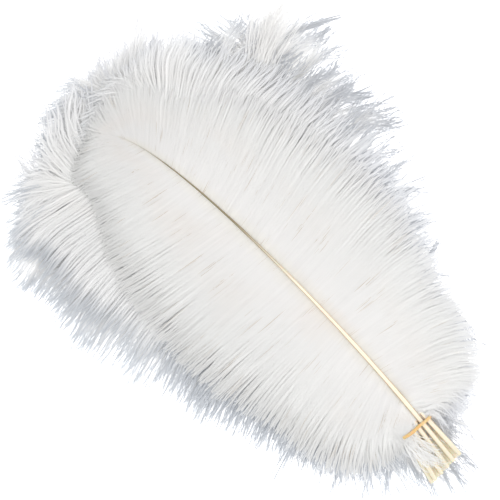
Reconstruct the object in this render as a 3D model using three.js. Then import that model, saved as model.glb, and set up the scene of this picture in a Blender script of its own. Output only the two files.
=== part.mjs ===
// A bunch of ten long ostrich plumes, held at the quills by a rubber band and lying down.
// Millimetres. +Y runs from the cut quills to the tips and +Z is up from the surface.
// Each plume is one closed mesh: quill, shaft and forty locks of barbs, twenty a side.
// The plumes lie on each other in layers, and one height field spaces all the layers, so
// that a plume follows the heap it lies on and stays clear of its neighbours.
import * as THREE from "three";

// Quills and the band round them
const QUILL_RADIUS = 2;
const QUILL_BEHIND_TIE = 40;
const QUILL_PITCH = 4.9;
const ROW_STAGGER = 0.5;
const QUILL_SPLAY = 1.4;
const QUILL_END_SHIFT = -7;
const TIE_HEIGHT = 13.5;
const QUILL_END_HEIGHT = 8.8;
const SETTLED = 22;
const BAND_WIDTH = 2.6;
const BAND_THICKNESS = 1.1;
const BAND_CLEARANCE = 0.6;
const BAND_TILT = -8;
const BAND_CORNER_STEPS = 6;

// Vanes
const LOCKS_PER_SIDE = 20;
const VANE_THICKNESS = 0.8;
const SHAFT_HALF_WIDTH = [2, 0.7];
const SHAFT_TOP = [1.2, 0.75];
const SHAFT_BELOW = [1, 0.55];
const CROTCH = 0.55;
const NARROWING = 0.8;
const LOCK_NARROWED = 0.62;
const LOCK_SWAY = 0.12;
const LOCK_UNEVENNESS = 0.05;

// The heap: height of the lowest and the highest layer over the surface
const SPINE_LEAN = 0.1;
const HEAP_HALF_WIDTH = 150;
const HEAP_EDGE = 20;
const HEAP_CREST = [[-10, 22], [25, 27.5], [110, 46], [250, 46], [345, 31], [390, 24]];
const FLOOR_RIDGE = [[5, 0], [25, 2.8], [110, 5.5], [290, 5.5], [350, 1.6]];
const RIDGE_HALF_WIDTH = 80;

// How a barb leaves the shaft, against the fraction of the shaft's length it grows at:
// its angle from the tip's direction, how far it turns on by its end, and its length
// as a share of the plume's reach
const LEAVES_AT = [[0.07, 112], [0.2, 97], [0.45, 87], [0.75, 78], [0.92, 60], [1, 16]];
const TURNS_BY = [[0.07, 22], [0.2, 10], [0.45, -4], [0.75, -12], [0.92, -10], [1, 0]];
const LENGTH_SHARE = [[0.07, 0.68], [0.2, 0.82], [0.45, 1], [0.75, 0.96], [0.92, 0.72], [1, 0.27]];
const QUILL_EASE = 0.33;
const DOWN_FADES = [0.08, 0.2];

// The plumes, top one first. place is the quill's place in its row, and row 1 lies on row 0,
// which is half a place further left.
// azimuth and length run from the tie to the shaft's tip, curl is the tip's own heading and
// ease the share of the length that turns to it. left and right are the longest barbs there,
// and bare is the shaft's length from the tie to its first barbs. sweep and tuck turn the
// downy barbs at the base back towards the quill's end, where they leave the shaft and
// along their length, and down is how much longer than usual they are.
const PLUMES = [
  // place, row, azimuth, length, curl, ease, left, right, bare, sweep, tuck, down
  [1, 1, -0.6, 329, -40, 0.12, 108, 101, 30, 0, 0, 1],
  [-1, 1, 8, 338, -20, 0.12, 104, 102, 31, 3, 0, 1],
  [2, 1, -10, 334, -42, 0.12, 104, 100, 31, 4, 4, 1],
  [-2, 1, 15, 314, 16, 0.2, 100, 98, 36, 5, 8, 1],
  [0, 1, 4, 350, -28, 0.12, 106, 100, 30, 5, 8, 1],
  [-1, 0, 10, 322, -4, 0.12, 98, 98, 29, 8, 8, 1],
  [2, 0, -14.5, 330, -52, 0.12, 106, 98, 29, 8, 8, 1],
  [0, 0, 2, 340, -20, 0.12, 106, 100, 29, 12, 10, 1],
  [-2, 0, 26, 310, 46, 0.3, 98, 108, 36, 14, 12, 1],
  [1, 0, -4, 330, -34, 0.12, 112, 104, 26, 45, 15, 1.3],
].map(([place, row, azimuth, length, curl, ease, left, right, bare, sweep, tuck, down]) => ({
  place, row, azimuth, length, curl, ease, left, right, bare, sweep, tuck, down,
}));

const UPPERMOST = PLUMES.length - 1;

const plumeMaterial = new THREE.MeshStandardMaterial({ color: "#f6f5f2", roughness: 0.95, metalness: 0 });
const bandMaterial = new THREE.MeshStandardMaterial({ color: "#dcb383", roughness: 0.6, metalness: 0 });

const radians = THREE.MathUtils.degToRad;
const lerp = THREE.MathUtils.lerp;

// A value read from [place, value] pairs, easing from each pair to the next.
function along(pairs, place) {
  const last = pairs.length - 1;
  if (place >= pairs[last][0]) return pairs[last][1];
  const next = Math.max(1, pairs.findIndex(([at]) => at > place));
  const [fromAt, from] = pairs[next - 1];
  const [toAt, to] = pairs[next];
  return lerp(from, to, THREE.MathUtils.smoothstep(place, fromAt, toAt));
}

// A repeatable number from -1 to 1 for one lock of one plume.
function unevenness(plumeIndex, side, lock, what) {
  const wave = Math.sin(plumeIndex * 12.9898 + side * 78.233 + lock * 37.719 + what * 4.581) * 43758.5453;
  return 2 * (wave - Math.floor(wave)) - 1;
}

// Height of a layer's middle over the surface: 0 is the lowest layer.
function layerHeight(layer, x, y) {
  const aside = Math.abs(x - SPINE_LEAN * y);
  const over = Math.max(0, 1 - (aside / HEAP_HALF_WIDTH) ** 2) ** 1.5;
  const highest = lerp(HEAP_EDGE, along(HEAP_CREST, y), over);
  const under = Math.max(0, 1 - (aside / RIDGE_HALF_WIDTH) ** 2) ** 2;
  const lowest = VANE_THICKNESS / 2 + along(FLOOR_RIDGE, y) * under;
  return lerp(lowest, highest, layer / UPPERMOST);
}

// A unit step in plan for a heading, in degrees clockwise from +Y.
function step(heading) {
  return new THREE.Vector2(Math.sin(radians(heading)), Math.cos(radians(heading)));
}

// The course of a plume's shaft in plan, from the tie to its tip, and its quill's heading.
function layOut(plume) {
  const place = plume.row === 0 ? plume.place - ROW_STAGGER : plume.place;
  const tie = new THREE.Vector2(place * QUILL_PITCH, 0);
  const end = new THREE.Vector2(tie.x * QUILL_SPLAY + QUILL_END_SHIFT, -QUILL_BEHIND_TIE);
  const quillHeading = THREE.MathUtils.radToDeg(Math.atan2(tie.x - end.x, tie.y - end.y));
  const tip = tie.clone().addScaledVector(step(plume.azimuth), plume.length);
  const leaving = tie.clone().addScaledVector(step(quillHeading), plume.length * QUILL_EASE);
  const arriving = tip.clone().addScaledVector(step(plume.curl), -plume.length * plume.ease);
  return { end, tie, shaft: new THREE.CubicBezierCurve(tie, leaving, arriving, tip) };
}

// A point of the vane in plan: the barb that grows at a fraction of the shaft's length,
// on the left (side -1) or the right (side 1), at u from its root (0) to its end (1).
function barbPoint(plume, course, side, fraction, u, stretch = 1) {
  const root = course.shaft.getPointAt(fraction);
  const tangent = course.shaft.getTangentAt(fraction);
  const down = 1 - THREE.MathUtils.smoothstep(fraction, ...DOWN_FADES);
  const heading = lerp(THREE.MathUtils.radToDeg(Math.atan2(tangent.x, tangent.y)), 0, down);
  const leaves = along(LEAVES_AT, fraction) + plume.sweep * down;
  const turned = leaves + along(TURNS_BY, fraction) + plume.tuck * down;
  const share = along(LENGTH_SHARE, fraction) * lerp(1, plume.down, down) * stretch;
  const half = ((side < 0 ? plume.left : plume.right) * share) / 2;
  const edge = root.clone().addScaledVector(step(heading + side * 90), lerp(...SHAFT_HALF_WIDTH, fraction));
  const elbow = edge.clone().addScaledVector(step(heading + side * leaves), half);
  const tip = elbow.clone().addScaledVector(step(heading + side * turned), half);
  return new THREE.QuadraticBezierCurve(edge, elbow, tip).getPoint(u);
}

// Collects the corners and faces of one closed mesh.
class Skin {
  constructor() {
    this.corners = [];
    this.faces = [];
  }

  corner(x, y, z) {
    this.corners.push(x, y, z);
    return this.corners.length / 3 - 1;
  }

  // A flat fan over corners that run anticlockwise seen from outside, or clockwise if turned.
  face(ring, turned = false) {
    const order = turned ? [...ring].reverse() : ring;
    for (let i = 2; i < order.length; i++) this.faces.push(order[0], order[i - 1], order[i]);
  }

  mesh(name, material) {
    const geometry = new THREE.BufferGeometry();
    geometry.setAttribute("position", new THREE.Float32BufferAttribute(this.corners, 3));
    geometry.setIndex(this.faces);
    geometry.computeVertexNormals();
    const made = new THREE.Mesh(geometry, material);
    made.name = name;
    return made;
  }
}

// The shaft's own direction to the right, in plan, at a fraction of its length.
function acrossAt(course, fraction) {
  return course.shaft.getTangentAt(fraction).rotateAround(new THREE.Vector2(), -Math.PI / 2);
}

// One six-sided cut through the shaft, clockwise from the top seen from the quill's end.
function addSection(skin, centre, height, across, halfWidth, top, below, flank) {
  const at = (share, rise) => {
    const point = centre.clone().addScaledVector(across, halfWidth * share);
    return skin.corner(point.x, point.y, height + rise);
  };
  return {
    top: at(0, top),
    right: [at(1, flank), at(1, -flank)],
    bottom: at(0, -below),
    left: [at(-1, flank), at(-1, -flank)],
  };
}

function ringOf(section) {
  return [section.top, ...section.right, section.bottom, section.left[1], section.left[0]];
}

// The quill's cuts from its end to the first barbs. It thins into the shaft and settles
// at its own layer's height a little past the tie.
function addQuill(skin, plume, course, layer) {
  const rowRise = (plume.row - 0.5) * (2 * QUILL_RADIUS + 0.4);
  const flank = QUILL_RADIUS * 0.55;
  const behind = [1, 0.5].map((back) => {
    const centre = course.tie.clone().lerp(course.end, back);
    const height = lerp(TIE_HEIGHT, QUILL_END_HEIGHT, back) + rowRise;
    const across = acrossAt(course, 0);
    return addSection(skin, centre, height, across, QUILL_RADIUS, QUILL_RADIUS, QUILL_RADIUS, flank);
  });
  const ahead = [0, 0.15, 0.45, 0.75, 1].map((forward) => {
    const fraction = (SETTLED * forward) / course.shaft.getLength();
    const centre = course.shaft.getPointAt(fraction);
    const settled = Math.max(0, (forward - 0.15) / 0.85);
    return addSection(
      skin, centre, lerp(TIE_HEIGHT + rowRise, layerHeight(layer, centre.x, centre.y), settled),
      acrossAt(course, fraction), QUILL_RADIUS,
      lerp(QUILL_RADIUS, SHAFT_TOP[0], forward),
      lerp(QUILL_RADIUS, SHAFT_BELOW[0], forward),
      lerp(flank, VANE_THICKNESS / 2, forward),
    );
  });
  return [...behind, ...ahead];
}

// The shaft's cuts between its locks, from the first barbs to the tip.
function addShaft(skin, course, layer, fractionAt) {
  return Array.from({ length: LOCKS_PER_SIDE + 1 }, (_, i) => {
    const fraction = fractionAt(i);
    const centre = course.shaft.getPointAt(fraction);
    return addSection(
      skin, centre, layerHeight(layer, centre.x, centre.y), acrossAt(course, fraction),
      lerp(...SHAFT_HALF_WIDTH, fraction), lerp(...SHAFT_TOP, fraction), lerp(...SHAFT_BELOW, fraction),
      VANE_THICKNESS / 2,
    );
  });
}

// The locks of one side: joined to each other as far as the crotch, then each on its own
// and narrowing to its end.
function addLocks(skin, plume, course, plumeIndex, side, sections, fractionAt) {
  const layer = UPPERMOST - plumeIndex;
  const turned = side < 0;
  const pair = (point) => {
    const height = layerHeight(layer, point.x, point.y);
    const half = VANE_THICKNESS / 2;
    return [skin.corner(point.x, point.y, height + half), skin.corner(point.x, point.y, height - half)];
  };
  const roots = sections.map((section) => (turned ? section.left : section.right));
  const crotches = roots.map((_, i) => pair(barbPoint(plume, course, side, fractionAt(i), CROTCH)));
  const strip = (aft, fore, aftOut, foreOut) => {
    skin.face([aft[0], aftOut[0], foreOut[0], fore[0]], turned);
    skin.face([aft[1], fore[1], foreOut[1], aftOut[1]], turned);
  };
  const aftWall = (aft, aftOut) => skin.face([aft[0], aft[1], aftOut[1], aftOut[0]], turned);
  const foreWall = (fore, foreOut) => skin.face([fore[0], foreOut[0], foreOut[1], fore[1]], turned);
  for (let lock = 0; lock < LOCKS_PER_SIDE; lock++) {
    const sway = LOCK_SWAY * unevenness(plumeIndex, side, lock, 1);
    const stretch = 1 + LOCK_UNEVENNESS * unevenness(plumeIndex, side, lock, 2);
    const middle = lock + 0.5 + sway;
    const [aftNarrow, foreNarrow] = [-0.5, 0.5].map((edge) => {
      const fraction = fractionAt(middle + edge * LOCK_NARROWED);
      return pair(barbPoint(plume, course, side, fraction, NARROWING, stretch));
    });
    const end = barbPoint(plume, course, side, fractionAt(middle), 1, stretch);
    const tip = skin.corner(end.x, end.y, layerHeight(layer, end.x, end.y) - VANE_THICKNESS / 2);
    strip(roots[lock], roots[lock + 1], crotches[lock], crotches[lock + 1]);
    strip(crotches[lock], crotches[lock + 1], aftNarrow, foreNarrow);
    aftWall(crotches[lock], aftNarrow);
    foreWall(crotches[lock + 1], foreNarrow);
    skin.face([aftNarrow[0], tip, foreNarrow[0]], turned);
    skin.face([aftNarrow[1], foreNarrow[1], tip], turned);
    skin.face([aftNarrow[0], aftNarrow[1], tip], turned);
    skin.face([foreNarrow[1], foreNarrow[0], tip], turned);
  }
  aftWall(roots[0], crotches[0]);
  foreWall(roots[LOCKS_PER_SIDE], crotches[LOCKS_PER_SIDE]);
}

// One whole plume.
function makePlume(plume, plumeIndex) {
  const layer = UPPERMOST - plumeIndex;
  const course = layOut(plume);
  const startsAt = plume.bare / course.shaft.getLength();
  const fractionAt = (place) => lerp(startsAt, 1, place / LOCKS_PER_SIDE);
  const skin = new Skin();
  const quill = addQuill(skin, plume, course, layer);
  const sections = addShaft(skin, course, layer, fractionAt);
  const all = [...quill, ...sections];
  for (let i = 1; i < all.length; i++) {
    const [from, to] = [ringOf(all[i - 1]), ringOf(all[i])];
    from.forEach((_, corner) => {
      const isFlank = corner === 1 || corner === 4;
      if (isFlank && i > quill.length) return;
      const next = (corner + 1) % from.length;
      skin.face([from[corner], from[next], to[next], to[corner]]);
    });
  }
  skin.face(ringOf(all[0]), true);
  skin.face(ringOf(all[all.length - 1]));
  addLocks(skin, plume, course, plumeIndex, -1, sections, fractionAt);
  addLocks(skin, plume, course, plumeIndex, 1, sections, fractionAt);
  return skin.mesh(`feather_${plumeIndex + 1}`, plumeMaterial.clone());
}

// A flat ring of rubber stretched round both rows of quills.
function makeBand() {
  const halfWidth = (2 + ROW_STAGGER / 2) * QUILL_PITCH + QUILL_RADIUS + BAND_CLEARANCE;
  const halfHeight = 2 * QUILL_RADIUS + 0.2 + BAND_CLEARANCE;
  const corner = QUILL_RADIUS + BAND_CLEARANCE;
  const outline = (path, grow) => {
    const [w, h, r] = [halfWidth + grow, halfHeight + grow, corner + grow];
    path.moveTo(w - r, -h);
    path.absarc(w - r, r - h, r, -Math.PI / 2, 0, false);
    path.absarc(w - r, h - r, r, 0, Math.PI / 2, false);
    path.absarc(r - w, h - r, r, Math.PI / 2, Math.PI, false);
    path.absarc(r - w, r - h, r, Math.PI, 1.5 * Math.PI, false);
    path.closePath();
    return path;
  };
  const shape = outline(new THREE.Shape(), BAND_THICKNESS);
  shape.holes.push(outline(new THREE.Path(), 0));
  const extrusion = { depth: BAND_WIDTH, bevelEnabled: false, curveSegments: BAND_CORNER_STEPS };
  const geometry = new THREE.ExtrudeGeometry(shape, extrusion);
  geometry.translate(0, 0, -BAND_WIDTH / 2);
  geometry.rotateX(Math.PI / 2);
  const band = new THREE.Mesh(geometry, bandMaterial);
  band.name = "rubber_band";
  band.position.set((-ROW_STAGGER / 2) * QUILL_PITCH, 0, TIE_HEIGHT);
  band.rotation.z = radians(BAND_TILT);
  return band;
}

const bunch = new THREE.Group();
PLUMES.forEach((plume, index) => bunch.add(makePlume(plume, index)));
bunch.add(makeBand());

// The origin goes to the middle of the box's underside.
bunch.updateMatrixWorld(true);
const box = new THREE.Box3().setFromObject(bunch, true);
const middle = box.getCenter(new THREE.Vector3());
bunch.position.set(-middle.x, -middle.y, -box.min.z);

export default bunch;
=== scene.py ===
"""Ten ostrich plumes lying in a bunch, held at the quills by a rubber band.

Lengths are in millimetres from the band's middle, with +Y towards the plumes' tips and +Z up,
until a mesh is made: then they are placed in the frame, in metres.
"""

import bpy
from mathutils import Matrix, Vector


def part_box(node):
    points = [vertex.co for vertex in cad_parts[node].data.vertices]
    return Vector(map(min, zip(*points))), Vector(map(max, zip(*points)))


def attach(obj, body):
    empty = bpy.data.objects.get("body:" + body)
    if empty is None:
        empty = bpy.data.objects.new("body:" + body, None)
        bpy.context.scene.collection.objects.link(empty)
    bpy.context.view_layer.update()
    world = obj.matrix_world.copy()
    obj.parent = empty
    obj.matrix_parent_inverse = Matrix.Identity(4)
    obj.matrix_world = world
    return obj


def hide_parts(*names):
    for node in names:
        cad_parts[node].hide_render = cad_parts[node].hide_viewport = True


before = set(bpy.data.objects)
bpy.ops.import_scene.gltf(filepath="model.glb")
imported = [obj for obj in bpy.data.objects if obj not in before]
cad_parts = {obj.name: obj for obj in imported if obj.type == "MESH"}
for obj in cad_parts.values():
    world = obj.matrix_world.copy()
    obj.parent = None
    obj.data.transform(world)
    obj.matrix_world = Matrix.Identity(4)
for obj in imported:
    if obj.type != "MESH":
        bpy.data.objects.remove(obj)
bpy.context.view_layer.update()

import logging
import math
from dataclasses import dataclass, fields
from enum import Enum
from typing import Any, Sequence

import bpy
import numpy as np
from mathutils import Matrix, Vector

log = logging.getLogger("plumes")

MM = 0.001
BAKED_MAP = "OFBake"

FAR_OUT = 1.5

Pairs = Sequence[tuple[float, float]]


class Side(Enum):
    """The two sides of a vane, seen from above with the tip ahead."""

    LEFT = -1
    RIGHT = 1


class Slot(Enum):
    """The record's material slots."""

    PLUME = "plume"
    QUILL = "quill"
    RUBBER = "rubber"


# ---------------------------------------------------------------- numbers and colours


def smooth(value: np.ndarray | float, start: float, end: float) -> np.ndarray:
    """Eases from 0 at start to 1 at end.

    Args:
        value: Where the step is read.
        start: The value at which it leaves 0.
        end: The value at which it reaches 1.

    Returns:
        The step, 0 to 1, in the shape of value.
    """
    share = np.clip((np.asarray(value, float) - start) / (end - start), 0.0, 1.0)
    return share * share * (3.0 - 2.0 * share)


def mix(low: Any, high: Any, share: Any) -> Any:
    """The value a share of the way from low to high."""
    return low + (high - low) * share


def along(pairs: Pairs, place: np.ndarray | float) -> np.ndarray:
    """Reads a table of (place, value) pairs, easing from each pair to the next.

    Args:
        pairs: The table, with places in rising order.
        place: Where the table is read.

    Returns:
        The values, in the shape of place.
    """
    found = np.full(np.shape(place), float(pairs[0][1]))
    for (start, low), (end, high) in zip(pairs, pairs[1:]):
        found = found + (high - low) * smooth(place, start, end)
    return found


def headed(degrees: np.ndarray | float) -> np.ndarray:
    """A unit step in plan, for a heading in degrees clockwise from +Y.

    Args:
        degrees: The heading or headings.

    Returns:
        The steps, with x and y as the last axis.
    """
    turned = np.radians(degrees)
    return np.stack([np.sin(turned), np.cos(turned)], axis=-1)


def draws(rng: np.random.Generator, spread: float, shape: Any) -> np.ndarray:
    """Random numbers round 0, without the few that lie far out.

    Args:
        rng: Where they come from.
        spread: Their usual size.
        shape: The shape of the result.

    Returns:
        The numbers, none beyond FAR_OUT times the spread.
    """
    return spread * np.clip(rng.normal(0, 1, shape), -FAR_OUT, FAR_OUT)


def linear(hex_colour: str) -> tuple[float, float, float, float]:
    """Turns an sRGB hex colour to linear.

    Args:
        hex_colour: Such as "#F4F1EA".

    Returns:
        Red, green, blue and an alpha of 1.
    """
    parts = [int(hex_colour[i : i + 2], 16) / 255 for i in (1, 3, 5)]
    red, green, blue = (
        p / 12.92 if p <= 0.04045 else ((p + 0.055) / 1.055) ** 2.4 for p in parts
    )
    return red, green, blue, 1.0


def add(
    tree: bpy.types.NodeTree, kind: str, inputs: dict[str | int, Any] | None = None, **settings: Any
) -> bpy.types.Node:
    """Adds a node with its settings and links.

    Args:
        tree: The tree it goes into.
        kind: The node's type.
        inputs: By socket name or number, a value, an output or a node to link, or a list of them.
        **settings: The node's own properties.

    Returns:
        The node.
    """
    node = tree.nodes.new(kind)
    for name, value in settings.items():
        setattr(node, name, value)
    for key, value in (inputs or {}).items():
        for each in value if isinstance(value, list) else [value]:
            source = each.outputs[0] if isinstance(each, bpy.types.Node) else each
            if isinstance(source, bpy.types.NodeSocket):
                tree.links.new(source, node.inputs[key])
            else:
                node.inputs[key].default_value = source
    return node


def set_stops(ramp: bpy.types.Node, places: Sequence[float], colours: Sequence[str]) -> None:
    """Gives a Color Ramp node its stops.

    Args:
        ramp: The node.
        places: Where the stops are, in rising order.
        colours: Their hex colours.
    """
    elements = ramp.color_ramp.elements
    while len(elements) < len(places):
        elements.new(1.0)
    for element, place, colour in zip(elements, places, colours):
        element.position = place
        element.color = linear(colour)


def new_material(name: str) -> tuple[bpy.types.Material, bpy.types.NodeTree]:
    """Starts an empty node material.

    Args:
        name: The material's name.

    Returns:
        The material and its tree.
    """
    material = bpy.data.materials.new(name)
    material.use_nodes = True
    material.node_tree.nodes.clear()
    return material, material.node_tree


def new_object(name: str, data: Any) -> bpy.types.Object:
    """Links a new object to the scene.

    Args:
        name: The object's name.
        data: Its mesh, light or camera.

    Returns:
        The object, at the origin.
    """
    made = bpy.data.objects.new(name, data)
    bpy.context.scene.collection.objects.link(made)
    return made


def new_mesh(name: str, corners: np.ndarray, faces: Sequence[Sequence[int]]) -> bpy.types.Object:
    """Makes a mesh object at the origin.

    Args:
        name: The object's name.
        corners: Its corners, in metres.
        faces: Its faces as corner numbers.

    Returns:
        The object, linked to the scene.
    """
    mesh = bpy.data.meshes.new(name)
    mesh.from_pydata(corners.tolist(), [], [list(face) for face in faces])
    mesh.update()
    return new_object(name, mesh)


def tube(rings: int, around: int, closed: bool = False) -> list[tuple[int, int, int, int]]:
    """The faces of a tube whose corners run ring by ring.

    Args:
        rings: How many rings it has.
        around: How many corners a ring has.
        closed: Whether the last ring joins the first.

    Returns:
        The faces as corner numbers, ring by ring.
    """
    faces = []
    for ring in range(rings if closed else rings - 1):
        near = ring * around
        far = (ring + 1) % rings * around
        for step in range(around):
            ahead = (step + 1) % around
            faces.append((near + step, near + ahead, far + ahead, far + step))
    return faces


def dress(piece: bpy.types.Object, material: bpy.types.Material) -> bpy.types.Object:
    """Gives a piece its material and smooth shading.

    Args:
        piece: The piece.
        material: Its material.

    Returns:
        The piece.
    """
    piece.data.polygons.foreach_set("use_smooth", [True] * len(piece.data.polygons))
    piece.data.materials.append(material)
    return piece


# ---------------------------------------------------------------- how the plumes lie


@dataclass(frozen=True)
class Tie:
    """Where the band holds the quills, and how the quills lie round it.

    pitch is from quill to quill, stagger the lower row's shift in pitches, and splay how much
    wider the quills' ends lie. behind is the quills' length behind the band. Ahead of it, a shaft
    stays level for level_share of settled, by which it lies on the heap, and keeps the quill's
    heading for about ease of its length.
    """

    pitch: float = 4.9
    stagger: float = 0.5
    splay: float = 1.4
    end_shift: float = -7.0
    behind: float = 40.0
    height: float = 13.5
    end_height: float = 8.8
    row_rise: float = 4.4
    settled: float = 22.0
    level_share: float = 0.15
    ease: float = 0.33

    @property
    def middle(self) -> float:
        """The band's middle across the bunch: the lower row lies further left."""
        return -self.stagger / 2 * self.pitch


@dataclass(frozen=True)
class Heap:
    """The heap that the plumes make: how high each layer lies over the surface.

    crest and floor_ridge are the heights of the highest and the lowest layer over the heap's
    spine, by the place along the bunch, and edge is the highest layer's height at its sides.
    """

    top_layer: int = 9
    spine_lean: float = 0.1
    half_width: float = 150.0
    edge: float = 20.0
    crest: Pairs = ((-10, 22), (25, 27.5), (110, 46), (250, 46), (345, 31), (390, 24))
    floor_ridge: Pairs = ((5, 0), (25, 2.8), (110, 5.5), (290, 5.5), (350, 1.6))
    ridge_half_width: float = 80.0
    lowest: float = 0.4

    def height(self, layer: int, x: np.ndarray, y: np.ndarray) -> np.ndarray:
        """Height of a layer's middle over the surface.

        Args:
            layer: 0 for the lowest.
            x: Places across the bunch.
            y: Places along it.

        Returns:
            The heights, in the shape of x.
        """
        aside = np.abs(x - self.spine_lean * y)
        over = np.maximum(0.0, 1.0 - (aside / self.half_width) ** 2) ** 1.5
        under = np.maximum(0.0, 1.0 - (aside / self.ridge_half_width) ** 2) ** 2
        highest = mix(self.edge, along(self.crest, y), over)
        lowest = self.lowest + along(self.floor_ridge, y) * under
        return mix(lowest, highest, layer / self.top_layer)


TIE = Tie()
HEAP = Heap()
BAND_TILT = -8.0

LOCKS_PER_SIDE = 20
# how much longer each plume's barbs are round its tip, and how long they are past its middle
TIP_REACH = {2: 0.1, 3: 0.4, 4: 0.2, 5: 0.4, 6: 0.3, 7: 0.45, 8: 0.32, 9: 0.5, 10: 0.4}
HIGH_RIGHT = {1: 0.8, 2: 0.82, 4: 1.12, 5: 0.86, 6: 0.9, 8: 0.9, 9: 0.94}
HIGH_LEFT = {1: 0.76, 7: 0.93, 9: 1.15}
# how far from the band the first barbs get to their full length, and where they root in the shaft
ROOT_DOWN = {Side.LEFT: 48, Side.RIGHT: 32}
ROOT_INSET = 0.8
# by the share of the shaft's length: the angle at which barbs leave it, how far they turn on by
# their end, in degrees, and their length as a share of the longest
LEAVES_AT: Pairs = ((0.07, 112), (0.2, 97), (0.45, 87), (0.75, 78), (0.92, 60), (1, 16))
TURNS_BY: Pairs = ((0.07, 22), (0.2, 10), (0.45, -4), (0.75, -12), (0.92, -10), (1, 0))
LENGTH_SHARE: Pairs = (
    (0.07, 0.68), (0.2, 0.82), (0.45, 1), (0.75, 0.96), (0.92, 0.72), (1, 0.27)
)
DOWN_FADES = (0.08, 0.2)


@dataclass(frozen=True)
class Plume:
    """One plume's place in the bunch and its own measures.

    place and row are the quill's place at the band. azimuth and length run from the band to the
    shaft's tip, curl is the tip's heading and ease the share of the length that turns to it.
    left and right are the longest barbs, and bare is the shaft's length before the first barbs.
    sweep, tuck and down turn back and lengthen the downy barbs at the base.
    """

    number: int
    place: int
    row: int
    azimuth: float
    length: float
    curl: float
    ease: float
    left: float
    right: float
    bare: float
    sweep: float
    tuck: float
    down: float

    @property
    def layer(self) -> int:
        """The plume's layer in the heap, 0 for the lowest."""
        return HEAP.top_layer + 1 - self.number

    @property
    def node(self) -> str:
        """The name of the plume's solid."""
        return f"feather_{self.number}"

    @property
    def rise(self) -> float:
        """How far the quill's row lifts it from the band's middle."""
        return (self.row - 0.5) * TIE.row_rise


PLUMES = tuple(
    Plume(number, *numbers)
    for number, numbers in enumerate(
        (
            (1, 1, -0.6, 329, -40, 0.12, 108, 101, 30, 0, 0, 1),
            (-1, 1, 8, 338, -20, 0.12, 104, 102, 31, 3, 0, 1),
            (2, 1, -10, 334, -42, 0.12, 104, 100, 31, 4, 4, 1),
            (-2, 1, 15, 314, 16, 0.2, 100, 98, 36, 5, 8, 1),
            (0, 1, 4, 350, -28, 0.12, 106, 100, 30, 5, 8, 1),
            (-1, 0, 10, 322, -4, 0.12, 98, 98, 29, 8, 8, 1),
            (2, 0, -14.5, 330, -52, 0.12, 106, 98, 29, 8, 8, 1),
            (0, 0, 2, 340, -20, 0.12, 106, 100, 29, 12, 10, 1),
            (-2, 0, 26, 310, 46, 0.3, 98, 108, 36, 14, 12, 1),
            (1, 0, -4, 330, -34, 0.12, 112, 104, 26, 45, 15, 1.3),
        ),
        start=1,
    )
)


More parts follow.
